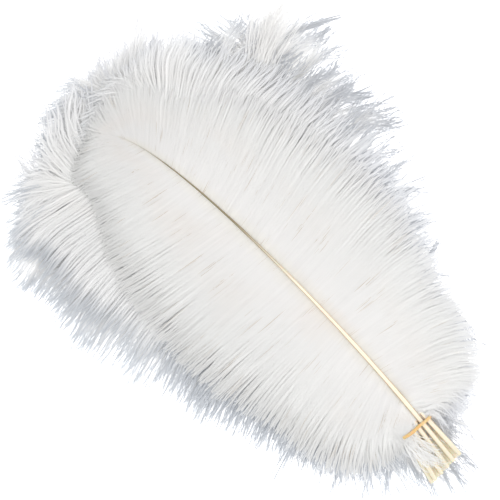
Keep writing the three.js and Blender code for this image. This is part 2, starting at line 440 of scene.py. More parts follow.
class Course:
    """The run of one plume's shaft in plan, read by the share of its length from the band."""

    SAMPLES = 400

    def __init__(self, plume: Plume) -> None:
        """Lays the shaft out.

        Args:
            plume: The plume whose shaft it is.
        """
        self.plume = plume
        place = plume.place - (TIE.stagger if plume.row == 0 else 0)
        self.tie = np.array([place * TIE.pitch, 0.0])
        self.end = np.array([self.tie[0] * TIE.splay + TIE.end_shift, -TIE.behind])
        back = self.tie - self.end
        leaves = math.degrees(math.atan2(back[0], back[1]))
        tip = self.tie + headed(plume.azimuth) * plume.length
        self.knots = np.array(
            [
                self.tie,
                self.tie + headed(leaves) * plume.length * TIE.ease,
                tip - headed(plume.curl) * plume.length * plume.ease,
                tip,
            ]
        )
        self._steps = np.linspace(0, 1, self.SAMPLES + 1)
        moves = np.diff(self._curve(self._steps), axis=0)
        lengths = np.concatenate([[0], np.cumsum(np.linalg.norm(moves, axis=1))])
        self.length = float(lengths[-1])
        self._shares = lengths / self.length

    def _curve(self, t: np.ndarray) -> np.ndarray:
        """Reads the curve by its own parameter.

        Args:
            t: The parameter, 0 at the band and 1 at the tip.

        Returns:
            Points in plan.
        """
        a, b, c, d = self.knots
        t = np.asarray(t, float)[..., None]
        return (1 - t) ** 3 * a + 3 * (1 - t) ** 2 * t * b + 3 * (1 - t) * t * t * c + t**3 * d

    def at(self, share: np.ndarray | float) -> np.ndarray:
        """Points at shares of the length from the band."""
        return self._curve(np.interp(share, self._shares, self._steps))

    def run(self, share: np.ndarray) -> np.ndarray:
        """Points of the whole rod, with shares below 0 for the quill behind the band."""
        back = np.clip(-share * self.length / TIE.behind, 0, 1)[:, None]
        return np.where(share[:, None] < 0, mix(self.tie, self.end, back), self.at(np.maximum(share, 0)))

    def heading(self, share: np.ndarray | float) -> np.ndarray:
        """Reads the shaft's heading.

        Args:
            share: Shares of the length from the band.

        Returns:
            Headings in degrees clockwise from +Y.
        """
        a, b, c, d = self.knots
        t = np.interp(share, self._shares, self._steps)[..., None]
        slope = (1 - t) ** 2 * (b - a) + 2 * (1 - t) * t * (c - b) + t * t * (d - c)
        return np.degrees(np.arctan2(slope[..., 0], slope[..., 1]))

    def height(self, share: np.ndarray) -> np.ndarray:
        """Height of the shaft's middle at shares of its length.

        Args:
            share: Shares of the length from the band, below 0 behind it.

        Returns:
            The heights over the surface.
        """
        forward = share * self.length / TIE.settled
        point = self.at(np.maximum(share, 0))
        lies = HEAP.height(self.plume.layer, point[..., 0], point[..., 1])
        held = TIE.height + self.plume.rise
        ahead = mix(held, lies, np.clip((forward - TIE.level_share) / (1 - TIE.level_share), 0, 1))
        back = -share * self.length / TIE.behind
        return np.where(share < 0, mix(held, TIE.end_height + self.plume.rise, back), ahead)

    def barbs(self, side: np.ndarray, share: np.ndarray, u: np.ndarray, stretch: np.ndarray) -> np.ndarray:
        """Lays barbs out in plan.

        Args:
            side: -1 or 1 for each barb.
            share: The share of the shaft's length that each grows at.
            u: Places along each barb, from its root (0) to its end (1).
            stretch: How much longer than usual each is.

        Returns:
            Points, one row of len(u) points a barb.
        """
        plume = self.plume
        down = 1 - smooth(share, *DOWN_FADES)
        heading = mix(self.heading(share), 0, down)
        leaves = along(LEAVES_AT, share) + plume.sweep * down
        turned = leaves + along(TURNS_BY, share) + plume.tuck * down
        reach = np.where(side < 0, plume.left, plume.right)
        half = reach * along(LENGTH_SHARE, share) * mix(1, plume.down, down) * stretch / 2
        beside = headed(heading + side * 90) * shaft_half_width(share)[:, None]
        edge = self.at(share) + beside * ROOT_INSET
        elbow = edge + headed(heading + side * leaves) * half[:, None]
        tip = elbow + headed(heading + side * turned) * half[:, None]
        t = u[:, :, None]
        return (1 - t) ** 2 * edge[:, None] + 2 * (1 - t) * t * elbow[:, None] + t * t * tip[:, None]


SHAFT_WIDTHS: Pairs = (
    (-0.12, 2.0), (0, 2.05), (0.2, 1.75), (0.4, 1.35), (0.6, 0.95), (0.7, 0.68), (0.85, 0.4), (1, 0.12)
)


def shaft_half_width(share: np.ndarray) -> np.ndarray:
    """Half the shaft's width at shares of its length from the band."""
    return along(SHAFT_WIDTHS, share)


TOP_COURSE = Course(PLUMES[0])


@dataclass(frozen=True)
class Hold:
    """What lies on the barbs near the quills and keeps them down: the band and the top shaft.

    Barbs stay under_shaft below the shaft's middle, and under band_height at the band. Further
    off than shaft_beside or band_ahead they may rise by the slopes, and along the stretch that
    frees gives, the shaft lets go of them.
    """

    samples: int = 60
    shaft_until: float = 60.0
    under_shaft: float = 0.5
    shaft_beside: float = 2.4
    shaft_slope: float = 1.2
    frees: tuple[float, float] = (40.0, 60.0)
    free_height: float = 30.0
    band_height: float = 18.2
    band_ahead: float = 4.5
    band_slope: float = 0.7
    band_half_width: float = 14.0

    def press(self, path: np.ndarray, z: np.ndarray) -> np.ndarray:
        """Presses barbs down under the band, and keeps them off the uppermost shaft.

        Args:
            path: Barbs in plan.
            z: The heights of their points.

        Returns:
            The heights, lowered where the band or the shaft lies on top.
        """
        x, y = path[..., 0], path[..., 1]
        shares = np.linspace(-TIE.behind, self.shaft_until, self.samples) / TOP_COURSE.length
        spine = TOP_COURSE.run(shares)
        shaft_x = np.interp(y, spine[:, 1], spine[:, 0])
        shaft_z = np.interp(y, spine[:, 1], TOP_COURSE.height(shares))
        beside = np.maximum(0, np.abs(x - shaft_x) - self.shaft_beside)
        freed = self.free_height * smooth(y, *self.frees)
        under_shaft = shaft_z - self.under_shaft + self.shaft_slope * beside + freed
        across = x - TIE.middle
        ahead = np.abs(y - across * math.tan(math.radians(BAND_TILT)))
        past_band = self.band_slope * np.maximum(0, ahead - self.band_ahead)
        under_band = self.band_height + past_band + np.maximum(0, np.abs(across) - self.band_half_width)
        return np.minimum(z, np.minimum(under_shaft, under_band))


HOLD = Hold()


def place_in_frame(points: np.ndarray) -> np.ndarray:
    """Moves points from the band's middle in millimetres to the frame in metres.

    Args:
        points: Points with x, y and z as the last axis.

    Returns:
        The same points in the frame.
    """
    low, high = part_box("rubber_band")
    middle = np.array([(low.x + high.x) / 2 - TIE.middle * MM, (low.y + high.y) / 2, 0.0])
    return points * MM + middle


# ---------------------------------------------------------------- finishes
# A Map Range node's inputs are 0 the value, 1 and 2 where it is read, by itself from 0 to 1, and
# 3 and 4 what it gives there. A Mapping node's input 3 is its scale, and a colour Mix node's 6
# and 7 are its colours.


@dataclass(frozen=True)
class BarbFinish:
    """Bleached ostrich barbs: loose keratin threads with a soft fuzz, matt and slightly sheer.

    left_end_shade and right_end_shade are the colours of the barbs' ends, greyed as painted shade for the
    shadow on the thin fringe, and painted_shade_starts is where across the vane they set in.
    painted_down_shade is how much sooner they do in the down by the quill, and painted_tip_shade darkens the
    colour towards the tip, which is painted shade too.
    """

    name: str
    left_end_shade: str
    right_end_shade: str = "#F1F1F1"
    painted_shade_starts: tuple[float, float, float, float] = (0.02, 0.12, 0.88, 0.98)
    root: str = "#FBF9F4"
    body: str = "#FCFBFA"
    outer: str = "#F8F8F7"
    warm: str = "#F7EADF"
    warm_share: float = 0.14
    sheer: float = 0.4
    barbs_along: float = 170.0
    unevenness: float = 0.028
    fleck: str = "#B79C74"
    flecks: float = 0.5
    painted_down_shade: float = 1.0
    painted_tip_shade: float = 1.0

    def _colour(
        self, tree: bpy.types.NodeTree, spread: bpy.types.Node, parts: bpy.types.Node
    ) -> bpy.types.Node:
        """Colours the barbs from the shaft to their ends, greyed there as painted shade, with warm patches
        and brown flecks.

        Args:
            tree: The material's tree.
            spread: The feather's own map.
            parts: The map's parts.

        Returns:
            The Mix node that gives the colour.
        """
        from_shaft = add(tree, "ShaderNodeMath", {0: parts.outputs["X"], 1: 0.5}, operation="SUBTRACT")
        aside = add(tree, "ShaderNodeMath", {0: from_shaft}, operation="ABSOLUTE")
        reach = add(tree, "ShaderNodeMath", {0: aside, 1: 2.0}, operation="MULTIPLY")
        # painted shade: towards the quill the grey of the barbs' ends reaches further in over the down
        quillwards = {0: parts.outputs["Y"], 1: 0.35, 2: 0.65, 3: self.painted_down_shade, 4: 1.0}
        downy = add(tree, "ShaderNodeMapRange", quillwards)
        graded = add(tree, "ShaderNodeMath", {0: from_shaft, 1: downy, 2: 0.5}, operation="MULTIPLY_ADD")
        # the ramp greys out towards the barbs' ends on both sides: that grey is painted shade
        colours = add(tree, "ShaderNodeValToRGB", {0: graded})
        set_stops(
            colours,
            (*self.painted_shade_starts[:2], 0.44, 0.5, 0.56, *self.painted_shade_starts[2:]),
            (self.left_end_shade, self.outer, self.body, self.root, self.body, self.outer, self.right_end_shade),
        )
        # soft warm patches some 60 mm across, where the light comes through the lower plumes
        patches = add(tree, "ShaderNodeTexNoise", {"Vector": spread, "Scale": 4.5, "Detail": 1.0})
        patch = add(tree, "ShaderNodeMapRange", {0: patches, 1: 0.5, 2: 0.68, 3: 0.0, 4: self.warm_share})
        near = add(tree, "ShaderNodeMapRange", {0: reach, 1: 0.75, 2: 0.35, 3: 0.0, 4: 1.0})
        share = add(tree, "ShaderNodeMath", {0: patch, 1: near}, operation="MULTIPLY")
        warmed = add(tree, "ShaderNodeMix", {0: share, 6: colours, 7: linear(self.warm)}, data_type="RGBA")
        # here and there a barb kept some of its brown for 10 mm or so
        lone = add(tree, "ShaderNodeMapping", {0: spread, 3: (5.0, 900.0, 1.0)})
        spots = add(tree, "ShaderNodeTexNoise", {"Vector": lone, "Scale": 1.0, "Detail": 0.0})
        spot = add(tree, "ShaderNodeMapRange", {0: spots, 1: 0.76, 2: 0.8, 3: 0.0, 4: self.flecks})
        brown = {0: spot, 6: warmed.outputs[2], 7: linear(self.fleck)}
        return add(tree, "ShaderNodeMix", brown, data_type="RGBA")

    def material(self) -> bpy.types.Material:
        """Builds the material.

        The feather's own map holds the barb's place: x runs out to each side from the shaft at
        0.5, and y runs from the quill to the tip.

        Returns:
            The material.
        """
        material, tree = new_material(self.name)
        spread = add(tree, "ShaderNodeUVMap", uv_map=BAKED_MAP)
        parts = add(tree, "ShaderNodeSeparateXYZ", {0: spread})
        colour = self._colour(tree, spread, parts)
        # each barb has a shade of its own: barbs grow about 1 mm apart
        rows = add(tree, "ShaderNodeMapping", {0: spread, 3: (3.0, self.barbs_along, 1.0)})
        shades = add(tree, "ShaderNodeTexNoise", {"Vector": rows, "Scale": 1.0, "Detail": 2.0})
        uneven = {0: shades, 1: 0.25, 2: 0.75, 3: 1 - self.unevenness, 4: 1 + self.unevenness}
        shade = add(tree, "ShaderNodeMapRange", uneven)
        # painted shade: the colour darkens a little towards the plume's tip
        tipwards = {0: parts.outputs["Y"], 1: 0.8, 2: 0.96, 3: 1.0, 4: self.painted_tip_shade}
        thin = add(tree, "ShaderNodeMapRange", tipwards)
        value = add(tree, "ShaderNodeMath", {0: shade, 1: thin}, operation="MULTIPLY")
        shaded = add(tree, "ShaderNodeHueSaturation", {"Value": value, "Color": colour.outputs[2]})
        # the fuzz on a barb is 0.1 mm fine: it is drawn as ribs 0.6 mm apart so that it shows
        fuzz = add(tree, "ShaderNodeMapping", {0: spread, 3: (330.0, 60.0, 1.0)})
        ribs = add(tree, "ShaderNodeTexNoise", {"Vector": fuzz, "Scale": 1.0, "Detail": 1.0})
        raised = add(tree, "ShaderNodeBump", {"Height": ribs, "Strength": 0.15, "Distance": 0.0003})
        rough = add(tree, "ShaderNodeMapRange", {0: shades, 1: 0.3, 2: 0.7, 3: 0.62, 4: 0.78})
        surface = add(
            tree,
            "ShaderNodeBsdfPrincipled",
            {
                "Base Color": shaded, "Roughness": rough, "Normal": raised, "IOR": 1.54,
                "Specular IOR Level": 0.25, "Sheen Weight": 0.3, "Sheen Roughness": 0.5,
            },
        )
        # a thread is thinner than paper, so that light comes through it
        glow = add(tree, "ShaderNodeBsdfTranslucent", {"Color": shaded, "Normal": raised})
        sheer = add(tree, "ShaderNodeMixShader", {0: self.sheer, 1: surface, 2: glow})
        add(tree, "ShaderNodeOutputMaterial", {0: sheer})
        return material


@dataclass(frozen=True)
class ShaftFinish:
    """Keratin quill and shaft: smooth, waxy horn, cream along the ridge and tan at its edges, with a painted
    shade of dark grey-brown over its thin part towards the tip.
    """

    name: str = "quill keratin"
    ridge: str = "#F7EDD8"
    edge: str = "#C9A878"
    # thin is painted shade: the dark grey-brown of the thin shaft stands for the shadow between the barbs
    # round it
    thin: str = "#8D8064"
    tip: str = "#F3F0EA"
    quill: str = "#E4DDC4"

    def material(self) -> bpy.types.Material:
        """Builds the material.

        The shaft's own map holds the place on it: x runs round it, with the ridge at 0.25, and y
        from the cut end to the tip.

        Returns:
            The material.
        """
        material, tree = new_material(self.name)
        spread = add(tree, "ShaderNodeUVMap", uv_map=BAKED_MAP)
        parts = add(tree, "ShaderNodeSeparateXYZ", {0: spread})
        from_ridge = add(tree, "ShaderNodeMath", {0: parts.outputs["X"], 1: 0.25}, operation="SUBTRACT")
        aside = add(tree, "ShaderNodeMath", {0: from_ridge}, operation="ABSOLUTE")
        tones = []
        # both ramps go dark grey-brown over the thin part: painted shade for the shadow between the barbs
        for tone, starts, thins in ((self.ridge, 0.14, 0.68), (self.edge, 0.12, 0.7)):
            ramp = add(tree, "ShaderNodeValToRGB", {0: parts.outputs["Y"]})
            colours = (self.quill, tone, tone, self.thin, self.thin, self.tip)
            set_stops(ramp, (0.0, starts, 0.5, thins, 0.86, 0.97), colours)
            tones.append(ramp)
        edges = add(tree, "ShaderNodeMapRange", {0: aside, 1: 0.1, 2: 0.2, 3: 0.0, 4: 1.0})
        sides = add(tree, "ShaderNodeMix", {0: edges, 6: tones[0], 7: tones[1]}, data_type="RGBA")
        # fine growth streaks along the horn, about 0.3 mm wide
        streaks = add(tree, "ShaderNodeMapping", {0: spread, 3: (40.0, 14.0, 1.0)})
        grain = add(tree, "ShaderNodeTexNoise", {"Vector": streaks, "Scale": 1.0, "Detail": 3.0})
        shade = add(tree, "ShaderNodeMapRange", {0: grain, 1: 0.3, 2: 0.7, 3: 0.93, 4: 1.06})
        shaded = add(tree, "ShaderNodeHueSaturation", {"Value": shade, "Color": sides.outputs[2]})
        raised = add(tree, "ShaderNodeBump", {"Height": grain, "Strength": 0.2, "Distance": 0.0002})
        rough = add(tree, "ShaderNodeMapRange", {0: grain, 1: 0.3, 2: 0.7, 3: 0.46, 4: 0.62})
        surface = add(
            tree,
            "ShaderNodeBsdfPrincipled",
            {
                "Base Color": shaded, "Roughness": rough, "Normal": raised, "IOR": 1.54,
                "Subsurface Weight": 0.15, "Subsurface Scale": 0.001,
            },
        )
        add(tree, "ShaderNodeOutputMaterial", {0: surface})
        return material


@dataclass(frozen=True)
class RubberFinish:
    """Natural rubber, cut from a tube: amber tan, slightly sheer, with a dusty bloom."""

    name: str = "natural rubber band, cut"
    gum: str = "#E0B36C"
    bloom: str = "#EBD3A0"

    def material(self) -> bpy.types.Material:
        """Builds the material.

        Returns:
            The material.
        """
        material, tree = new_material(self.name)
        place = add(tree, "ShaderNodeTexCoord").outputs["Object"]
        # dusty bloom in patches some 4 mm across
        cloud = add(tree, "ShaderNodeTexNoise", {"Vector": place, "Scale": 240.0, "Detail": 4.0})
        amount = add(tree, "ShaderNodeMapRange", {0: cloud, 1: 0.35, 2: 0.7, 3: 0.0, 4: 1.0})
        tones = {0: amount, 6: linear(self.gum), 7: linear(self.bloom)}
        colour = add(tree, "ShaderNodeMix", tones, data_type="RGBA")
        # the knife leaves fine ripples, 0.25 mm apart
        ripple = add(tree, "ShaderNodeTexNoise", {"Vector": place, "Scale": 2500.0, "Detail": 2.0})
        raised = add(tree, "ShaderNodeBump", {"Height": ripple, "Strength": 0.25, "Distance": 0.0002})
        rough = add(tree, "ShaderNodeMapRange", {0: cloud, 1: 0.3, 2: 0.7, 3: 0.42, 4: 0.6})
        surface = add(
            tree,
            "ShaderNodeBsdfPrincipled",
            {
                "Base Color": colour.outputs[2], "Roughness": rough, "Normal": raised, "IOR": 1.52,
                "Subsurface Weight": 0.3, "Subsurface Scale": 0.002,
            },
        )
        add(tree, "ShaderNodeOutputMaterial", {0: surface})
        return material


@dataclass(frozen=True)
class PaperFinish:
    """White studio paper: flat and matt, lit until it glows."""

    name: str = "white studio paper"
    colour: str = "#FFFFFF"
    glow: float = 0.75

    def material(self) -> bpy.types.Material:
        """Builds the material.

        Returns:
            The material.
        """
        material, tree = new_material(self.name)
        white = linear(self.colour)
        paper = {"Base Color": white, "Roughness": 0.9}
        lit = {"Emission Color": white, "Emission Strength": self.glow}
        surface = add(tree, "ShaderNodeBsdfPrincipled", paper | lit)
        add(tree, "ShaderNodeOutputMaterial", {0: surface})
        return material


# ---------------------------------------------------------------- barbs


class BarbTree:
    """The node tree that turns guide lines into flat barbs with fuzz along them."""

    GUIDE_VALUES = ("reach", "place", "side", "girth", "lean")
    OWN_VALUES = ("across", "out")
    SOCKETS = (
        ("Fuzz spacing", "NodeSocketFloat"),
        ("Fuzz length", "NodeSocketFloat"),
        ("Fuzz width", "NodeSocketFloat"),
        ("Fuzz starts at", "NodeSocketFloat"),
        ("Seed", "NodeSocketInt"),
        ("Material", "NodeSocketMaterial"),
    )
    # as inputs of Map Range nodes: how far threads turn off the barb and tilt, in radians, how
    # unlike they are in length, and how they get shorter towards the barb's end
    YAWS = {3: 0.35, 4: 1.0}
    TILTS = {3: -0.3, 4: 0.3}
    LENGTHS = {3: 0.6, 4: 1.25}
    FADES = {1: 0.6, 2: 0.95, 3: 1.0, 4: 0.34}
    # the map's room out from the shaft and along it, and how much of it the barbs' places, a
    # thread and half a barb's width take up
    MAP_OUT = {3: 0.005, 4: 0.49}
    MAP_UP = {3: 0.004, 4: 0.996}
    MAP_PLACES = 0.98
    MAP_THREAD = 0.012
    MAP_WIDTH = 0.0012
    LOWEST = 0.1 * MM

    def __init__(self) -> None:
        """Builds the tree."""
        self.tree = bpy.data.node_groups.new("barbs_along_guides", "GeometryNodeTree")
        face = self.tree.interface
        face.new_socket(name="Geometry", in_out="OUTPUT", socket_type="NodeSocketGeometry")
        face.new_socket(name="Guides", in_out="INPUT", socket_type="NodeSocketGeometry")
        self.sockets: dict[str, str] = {}
        for name, kind in self.SOCKETS:
            self.sockets[name] = face.new_socket(name=name, in_out="INPUT", socket_type=kind).identifier
        self.values = {
            name: add(self.tree, "GeometryNodeInputNamedAttribute", {0: name}, data_type="FLOAT")
            for name in (*self.GUIDE_VALUES, *self.OWN_VALUES)
        }
        self._build()

    def _build(self) -> None:
        """Adds the nodes from the guides to the dressed barbs."""
        tree = self.tree
        given = tree.nodes.new("NodeGroupInput").outputs
        lines = add(tree, "GeometryNodeMeshToCurve", {"Mesh": given["Guides"]})
        flat = add(tree, "GeometryNodeSetCurveNormal", {"Curve": lines}, mode="Z_UP")
        leaning = add(tree, "GeometryNodeSetCurveTilt", {"Curve": flat, "Tilt": self.values["lean"]})
        both = add(tree, "GeometryNodeJoinGeometry", {0: [self._fuzz(leaning, given), self._barbs(leaning)]})
        soft = add(tree, "GeometryNodeSetShadeSmooth", {"Geometry": self._map(both)})
        real = add(tree, "GeometryNodeRealizeInstances", {"Geometry": soft})
        dressed = add(tree, "GeometryNodeSetMaterial", {"Geometry": real, "Material": given["Material"]})
        add(tree, "NodeGroupOutput", {0: dressed})

    def _mark(self, shape: bpy.types.Node, axes: dict[str, str]) -> bpy.types.Node:
        """Keeps the places of a shape's points as values of their own.

        Args:
            shape: The node that gives the shape.
            axes: The axis that each value is read along, by the value's name.

        Returns:
            The node that gives the marked shape.
        """
        parts = add(self.tree, "ShaderNodeSeparateXYZ", {0: add(self.tree, "GeometryNodeInputPosition")})
        for name, axis in axes.items():
            kept = {"Geometry": shape, "Name": name, "Value": parts.outputs[axis]}
            shape = add(
                self.tree, "GeometryNodeStoreNamedAttribute", kept, data_type="FLOAT", domain="POINT"
            )
        return shape

    def _barbs(self, lines: bpy.types.Node) -> bpy.types.Node:
        """Sweeps a flat section along the guides.

        Args:
            lines: The node that gives the guides as curves.

        Returns:
            The node that gives the barbs.
        """
        ends = {"Start": (-1.0, 0.0, 0.0), "End": (1.0, 0.0, 0.0)}
        section = self._mark(add(self.tree, "GeometryNodeCurvePrimitiveLine", ends), {"across": "X"})
        swept = {"Curve": lines, "Profile Curve": section, "Scale": self.values["girth"]}
        return add(self.tree, "GeometryNodeCurveToMesh", swept)

    def _fuzz(self, lines: bpy.types.Node, given: Any) -> bpy.types.Node:
        """Sets narrow pointed threads along the guides, to both sides.

        Args:
            lines: The node that gives the guides as curves.
            given: The tree's inputs.

        Returns:
            The node that gives the fuzz.
        """
        tree = self.tree
        # a thread is a flat triangle from its root at 0 to its end at 1
        disc = add(tree, "GeometryNodeMeshCircle", {"Vertices": 3, "Radius": 1.0}, fill_type="NGON")
        moved = {"Geometry": disc, "Translation": (1 / 3, 0.0, 0.0), "Scale": (2 / 3, 1 / math.sqrt(3), 1.0)}
        thread = self._mark(add(tree, "GeometryNodeTransform", moved), {"across": "Y", "out": "X"})
        spaced = {"Curve": lines, "Length": given["Fuzz spacing"]}
        points = add(tree, "GeometryNodeCurveToPoints", spaced, mode="LENGTH")
        facing = add(
            tree,
            "FunctionNodeAxesToRotation",
            {0: points.outputs["Tangent"], 1: (0.0, 0.0, 1.0)},
            primary_axis="X",
            secondary_axis="Z",
        )
        chance = add(tree, "FunctionNodeRandomValue", {"Seed": given["Seed"]}, data_type="FLOAT_VECTOR")
        odds = add(tree, "ShaderNodeSeparateXYZ", {0: chance}).outputs
        # every other thread grows to the other side
        number = add(tree, "GeometryNodeInputIndex")
        parity = add(tree, "ShaderNodeMath", {0: number, 1: 2.0}, operation="MODULO")
        sign = add(tree, "ShaderNodeMapRange", {0: parity, 3: -1.0, 4: 1.0})
        yaw = add(tree, "ShaderNodeMapRange", {0: odds["X"], **self.YAWS})
        turn = add(tree, "ShaderNodeMath", {0: yaw, 1: sign}, operation="MULTIPLY")
        tilt = add(tree, "ShaderNodeMapRange", {0: odds["Y"], **self.TILTS})
        angles = add(tree, "ShaderNodeCombineXYZ", {"Y": tilt, "Z": turn})
        twist = add(tree, "FunctionNodeEulerToRotation", {0: angles})
        turned = add(tree, "FunctionNodeRotateRotation", {0: facing, 1: twist}, rotation_space="LOCAL")
        # threads get shorter towards the barb's end
        reach = self.values["reach"]
        longer = add(tree, "ShaderNodeMapRange", {0: odds["Z"], **self.LENGTHS})
        fading = add(tree, "ShaderNodeMapRange", {0: reach, **self.FADES})
        share = add(tree, "ShaderNodeMath", {0: longer, 1: fading}, operation="MULTIPLY")
        length = add(tree, "ShaderNodeMath", {0: share, 1: given["Fuzz length"]}, operation="MULTIPLY")
        size = add(tree, "ShaderNodeCombineXYZ", {"X": length, "Y": given["Fuzz width"], "Z": 1.0})
        begins = {0: reach, 1: given["Fuzz starts at"]}
        chosen = add(tree, "FunctionNodeCompare", begins, operation="GREATER_THAN")
        placed = {"Points": points, "Selection": chosen, "Instance": thread}
        placed |= {"Rotation": turned, "Scale": size}
        set_out = add(tree, "GeometryNodeInstanceOnPoints", placed)
        return add(tree, "GeometryNodeRealizeInstances", {"Geometry": set_out})

    def _map(self, geometry: bpy.types.Node) -> bpy.types.Node:
        """Lays the feather's own map: out from the shaft by x and along it by y.

        Args:
            geometry: The node that gives the barbs and their fuzz.

        Returns:
            The node that gives them mapped.
        """
        tree = self.tree
        values = self.values
        thread = add(tree, "ShaderNodeMath", {0: values["out"], 1: self.MAP_THREAD}, operation="MULTIPLY")
        reach = add(tree, "ShaderNodeMath", {0: values["reach"], 1: thread}, operation="ADD")
        out = add(tree, "ShaderNodeMapRange", {0: reach, **self.MAP_OUT})
        sided = add(tree, "ShaderNodeMath", {0: out, 1: values["side"], 2: 0.5}, operation="MULTIPLY_ADD")
        width = add(tree, "ShaderNodeMath", {0: values["across"], 1: self.MAP_WIDTH}, operation="MULTIPLY")
        placed = {0: values["place"], 1: self.MAP_PLACES, 2: width}
        up = add(tree, "ShaderNodeMath", placed, operation="MULTIPLY_ADD")
        up_in = add(tree, "ShaderNodeMapRange", {0: up, **self.MAP_UP})
        both = add(tree, "ShaderNodeCombineXYZ", {"X": sided, "Y": up_in})
        kept = {"Geometry": geometry, "Name": BAKED_MAP, "Value": both}
        return add(tree, "GeometryNodeStoreNamedAttribute", kept, data_type="FLOAT2", domain="CORNER")

    def _lay_down(self, mesh: bpy.types.Mesh) -> None:
        """Lets threads that would go under the surface lie on it.

        Args:
            mesh: The barbs.
        """
        corners = np.empty(len(mesh.vertices) * 3, np.float32)
        mesh.vertices.foreach_get("co", corners)
        corners[2::3] = np.maximum(corners[2::3], self.LOWEST)
        mesh.vertices.foreach_set("co", corners)
        mesh.update()

    def grow(self, name: str, guides: "Guides", inputs: dict[str, Any]) -> bpy.types.Object:
        """Grows barbs along guides and keeps the result as a plain mesh.

        Args:
            name: The piece's name.
            guides: The guide lines.
            inputs: The tree's inputs by name.

        Returns:
            The piece, at the origin.
        """
        lines = guides.lines(name + "_guides")
        modifier = lines.modifiers.new("barbs", "NODES")
        modifier.node_group = self.tree
        for key, value in inputs.items():
            modifier[self.sockets[key]] = value
        bpy.context.view_layer.update()
        depsgraph = bpy.context.evaluated_depsgraph_get()
        mesh = bpy.data.meshes.new_from_object(lines.evaluated_get(depsgraph))
        for kept in (*self.GUIDE_VALUES, *self.OWN_VALUES):
            if kept in mesh.attributes:
                mesh.attributes.remove(mesh.attributes[kept])
        mesh.name = name
        self._lay_down(mesh)
        lines.modifiers.remove(modifier)
        bare = lines.data
        bpy.data.objects.remove(lines)
        bpy.data.meshes.remove(bare)
        return new_object(name, mesh)


@dataclass
class Guides:
    """Guide lines for barbs, each of the same number of points.

    points are in millimetres from the band's middle. reach and place are where each point is on
    its barb and each barb on its shaft, side is -1 or 1, girth is half the barb's width, and
    lean turns its flat face.
    """

    points: np.ndarray
    reach: np.ndarray
    place: np.ndarray
    side: np.ndarray
    girth: np.ndarray
    lean: np.ndarray

    @staticmethod
    def joined(parts: Sequence["Guides"]) -> "Guides":
        """All the lines of several sets as one set."""
        names = [each.name for each in fields(Guides)]
        return Guides(*(np.concatenate([getattr(part, name) for part in parts]) for name in names))

    def lines(self, name: str) -> bpy.types.Object:
        """Makes a mesh of the lines' edges, with their values on its points.

        Args:
            name: The object's name.

        Returns:
            The object.
        """
        count, each = self.points.shape[:2]
        first = (np.arange(count)[:, None] * each + np.arange(each - 1)).ravel()
        mesh = bpy.data.meshes.new(name)
        mesh.vertices.add(count * each)
        mesh.vertices.foreach_set("co", place_in_frame(self.points).astype(np.float32).ravel())
        mesh.edges.add(len(first))
        mesh.edges.foreach_set("vertices", np.stack([first, first + 1], 1).astype(np.int32).ravel())
        for key in BarbTree.GUIDE_VALUES:
            values = np.broadcast_to(getattr(self, key), (count, each)).astype(np.float32)
            mesh.attributes.new(key, "FLOAT", "POINT").data.foreach_set("value", values.ravel())
        mesh.update()
        return new_object(name, mesh)


def unevenness(number: int, side: np.ndarray, lock: np.ndarray) -> np.ndarray:
    """A repeatable number from -1 to 1 for each lock of a plume.

    Args:
        number: The plume's number, 1 for the top one.
        side: -1 or 1 for each lock.
        lock: The lock's number, from the quill's end.

    Returns:
        The numbers, in the shape of lock.
    """
    wave = np.sin((number - 1) * 12.9898 + side * 78.233 + lock * 37.719 + 9.162) * 43758.5453
    return 2 * (wave - np.floor(wave)) - 1


@dataclass(frozen=True)
class Habit:
    """How the barbs on one side of a plume gather, bend and thin towards their ends.

    A lock is a twentieth of a side, lock_spread is how unlike locks are in length, and a tuft is
    a part of a lock. tuft_pull is how far barbs close up to their tuft's middle and tuft_from is
    where that starts. Lengths are in millimetres, and bends are towards the quill's end. uneven
    and short are how much shorter tufts and single barbs are, and base_share is the length of
    the barbs nearer the quill.
    """

    tufts_per_lock: int
    tuft_pull: float
    tuft_from: float
    splay: float
    bend: float
    bend_spread: float
    waves: float
    unlike: float
    uneven: float
    short: float
    jitter: float
    rise: float
    girth: float
    girth_end: float
    lean: float
    lock_spread: float = 0.04
    base_share: float = 1.0


SLEEK = Habit(
    tufts_per_lock=6, tuft_pull=0.0, tuft_from=0.85, splay=1.4, bend=2.5, bend_spread=0.15, waves=0.4,
    unlike=0.04, uneven=0.008, short=0.26, jitter=0.12, rise=0.3, girth=0.7, girth_end=0.36, lean=0.06,
    lock_spread=0.01,
)
COMBED = Habit(
    tufts_per_lock=8, tuft_pull=0.3, tuft_from=0.88, splay=2.2, bend=8.0, bend_spread=0.5, waves=0.9,
    unlike=0.15, uneven=0.02, short=0.14, jitter=0.5, rise=0.7, girth=0.62, girth_end=0.24, lean=0.12,
)
TWIGGY = Habit(
    tufts_per_lock=4, tuft_pull=0.8, tuft_from=0.84, splay=2.6, bend=7.0, bend_spread=6.0, waves=2.4,
    unlike=0.3, uneven=0.09, short=0.16, jitter=0.7, rise=0.8, girth=0.6, girth_end=0.26, lean=0.15,
    base_share=0.84,
)
SPARSE = Habit(
    tufts_per_lock=3, tuft_pull=0.96, tuft_from=0.6, splay=2.6, bend=9.0, bend_spread=9.0, waves=3.0,
    unlike=0.4, uneven=0.08, short=0.16, jitter=0.8, rise=1.0, girth=0.42, girth_end=0.26, lean=0.15,
    base_share=0.78,
)


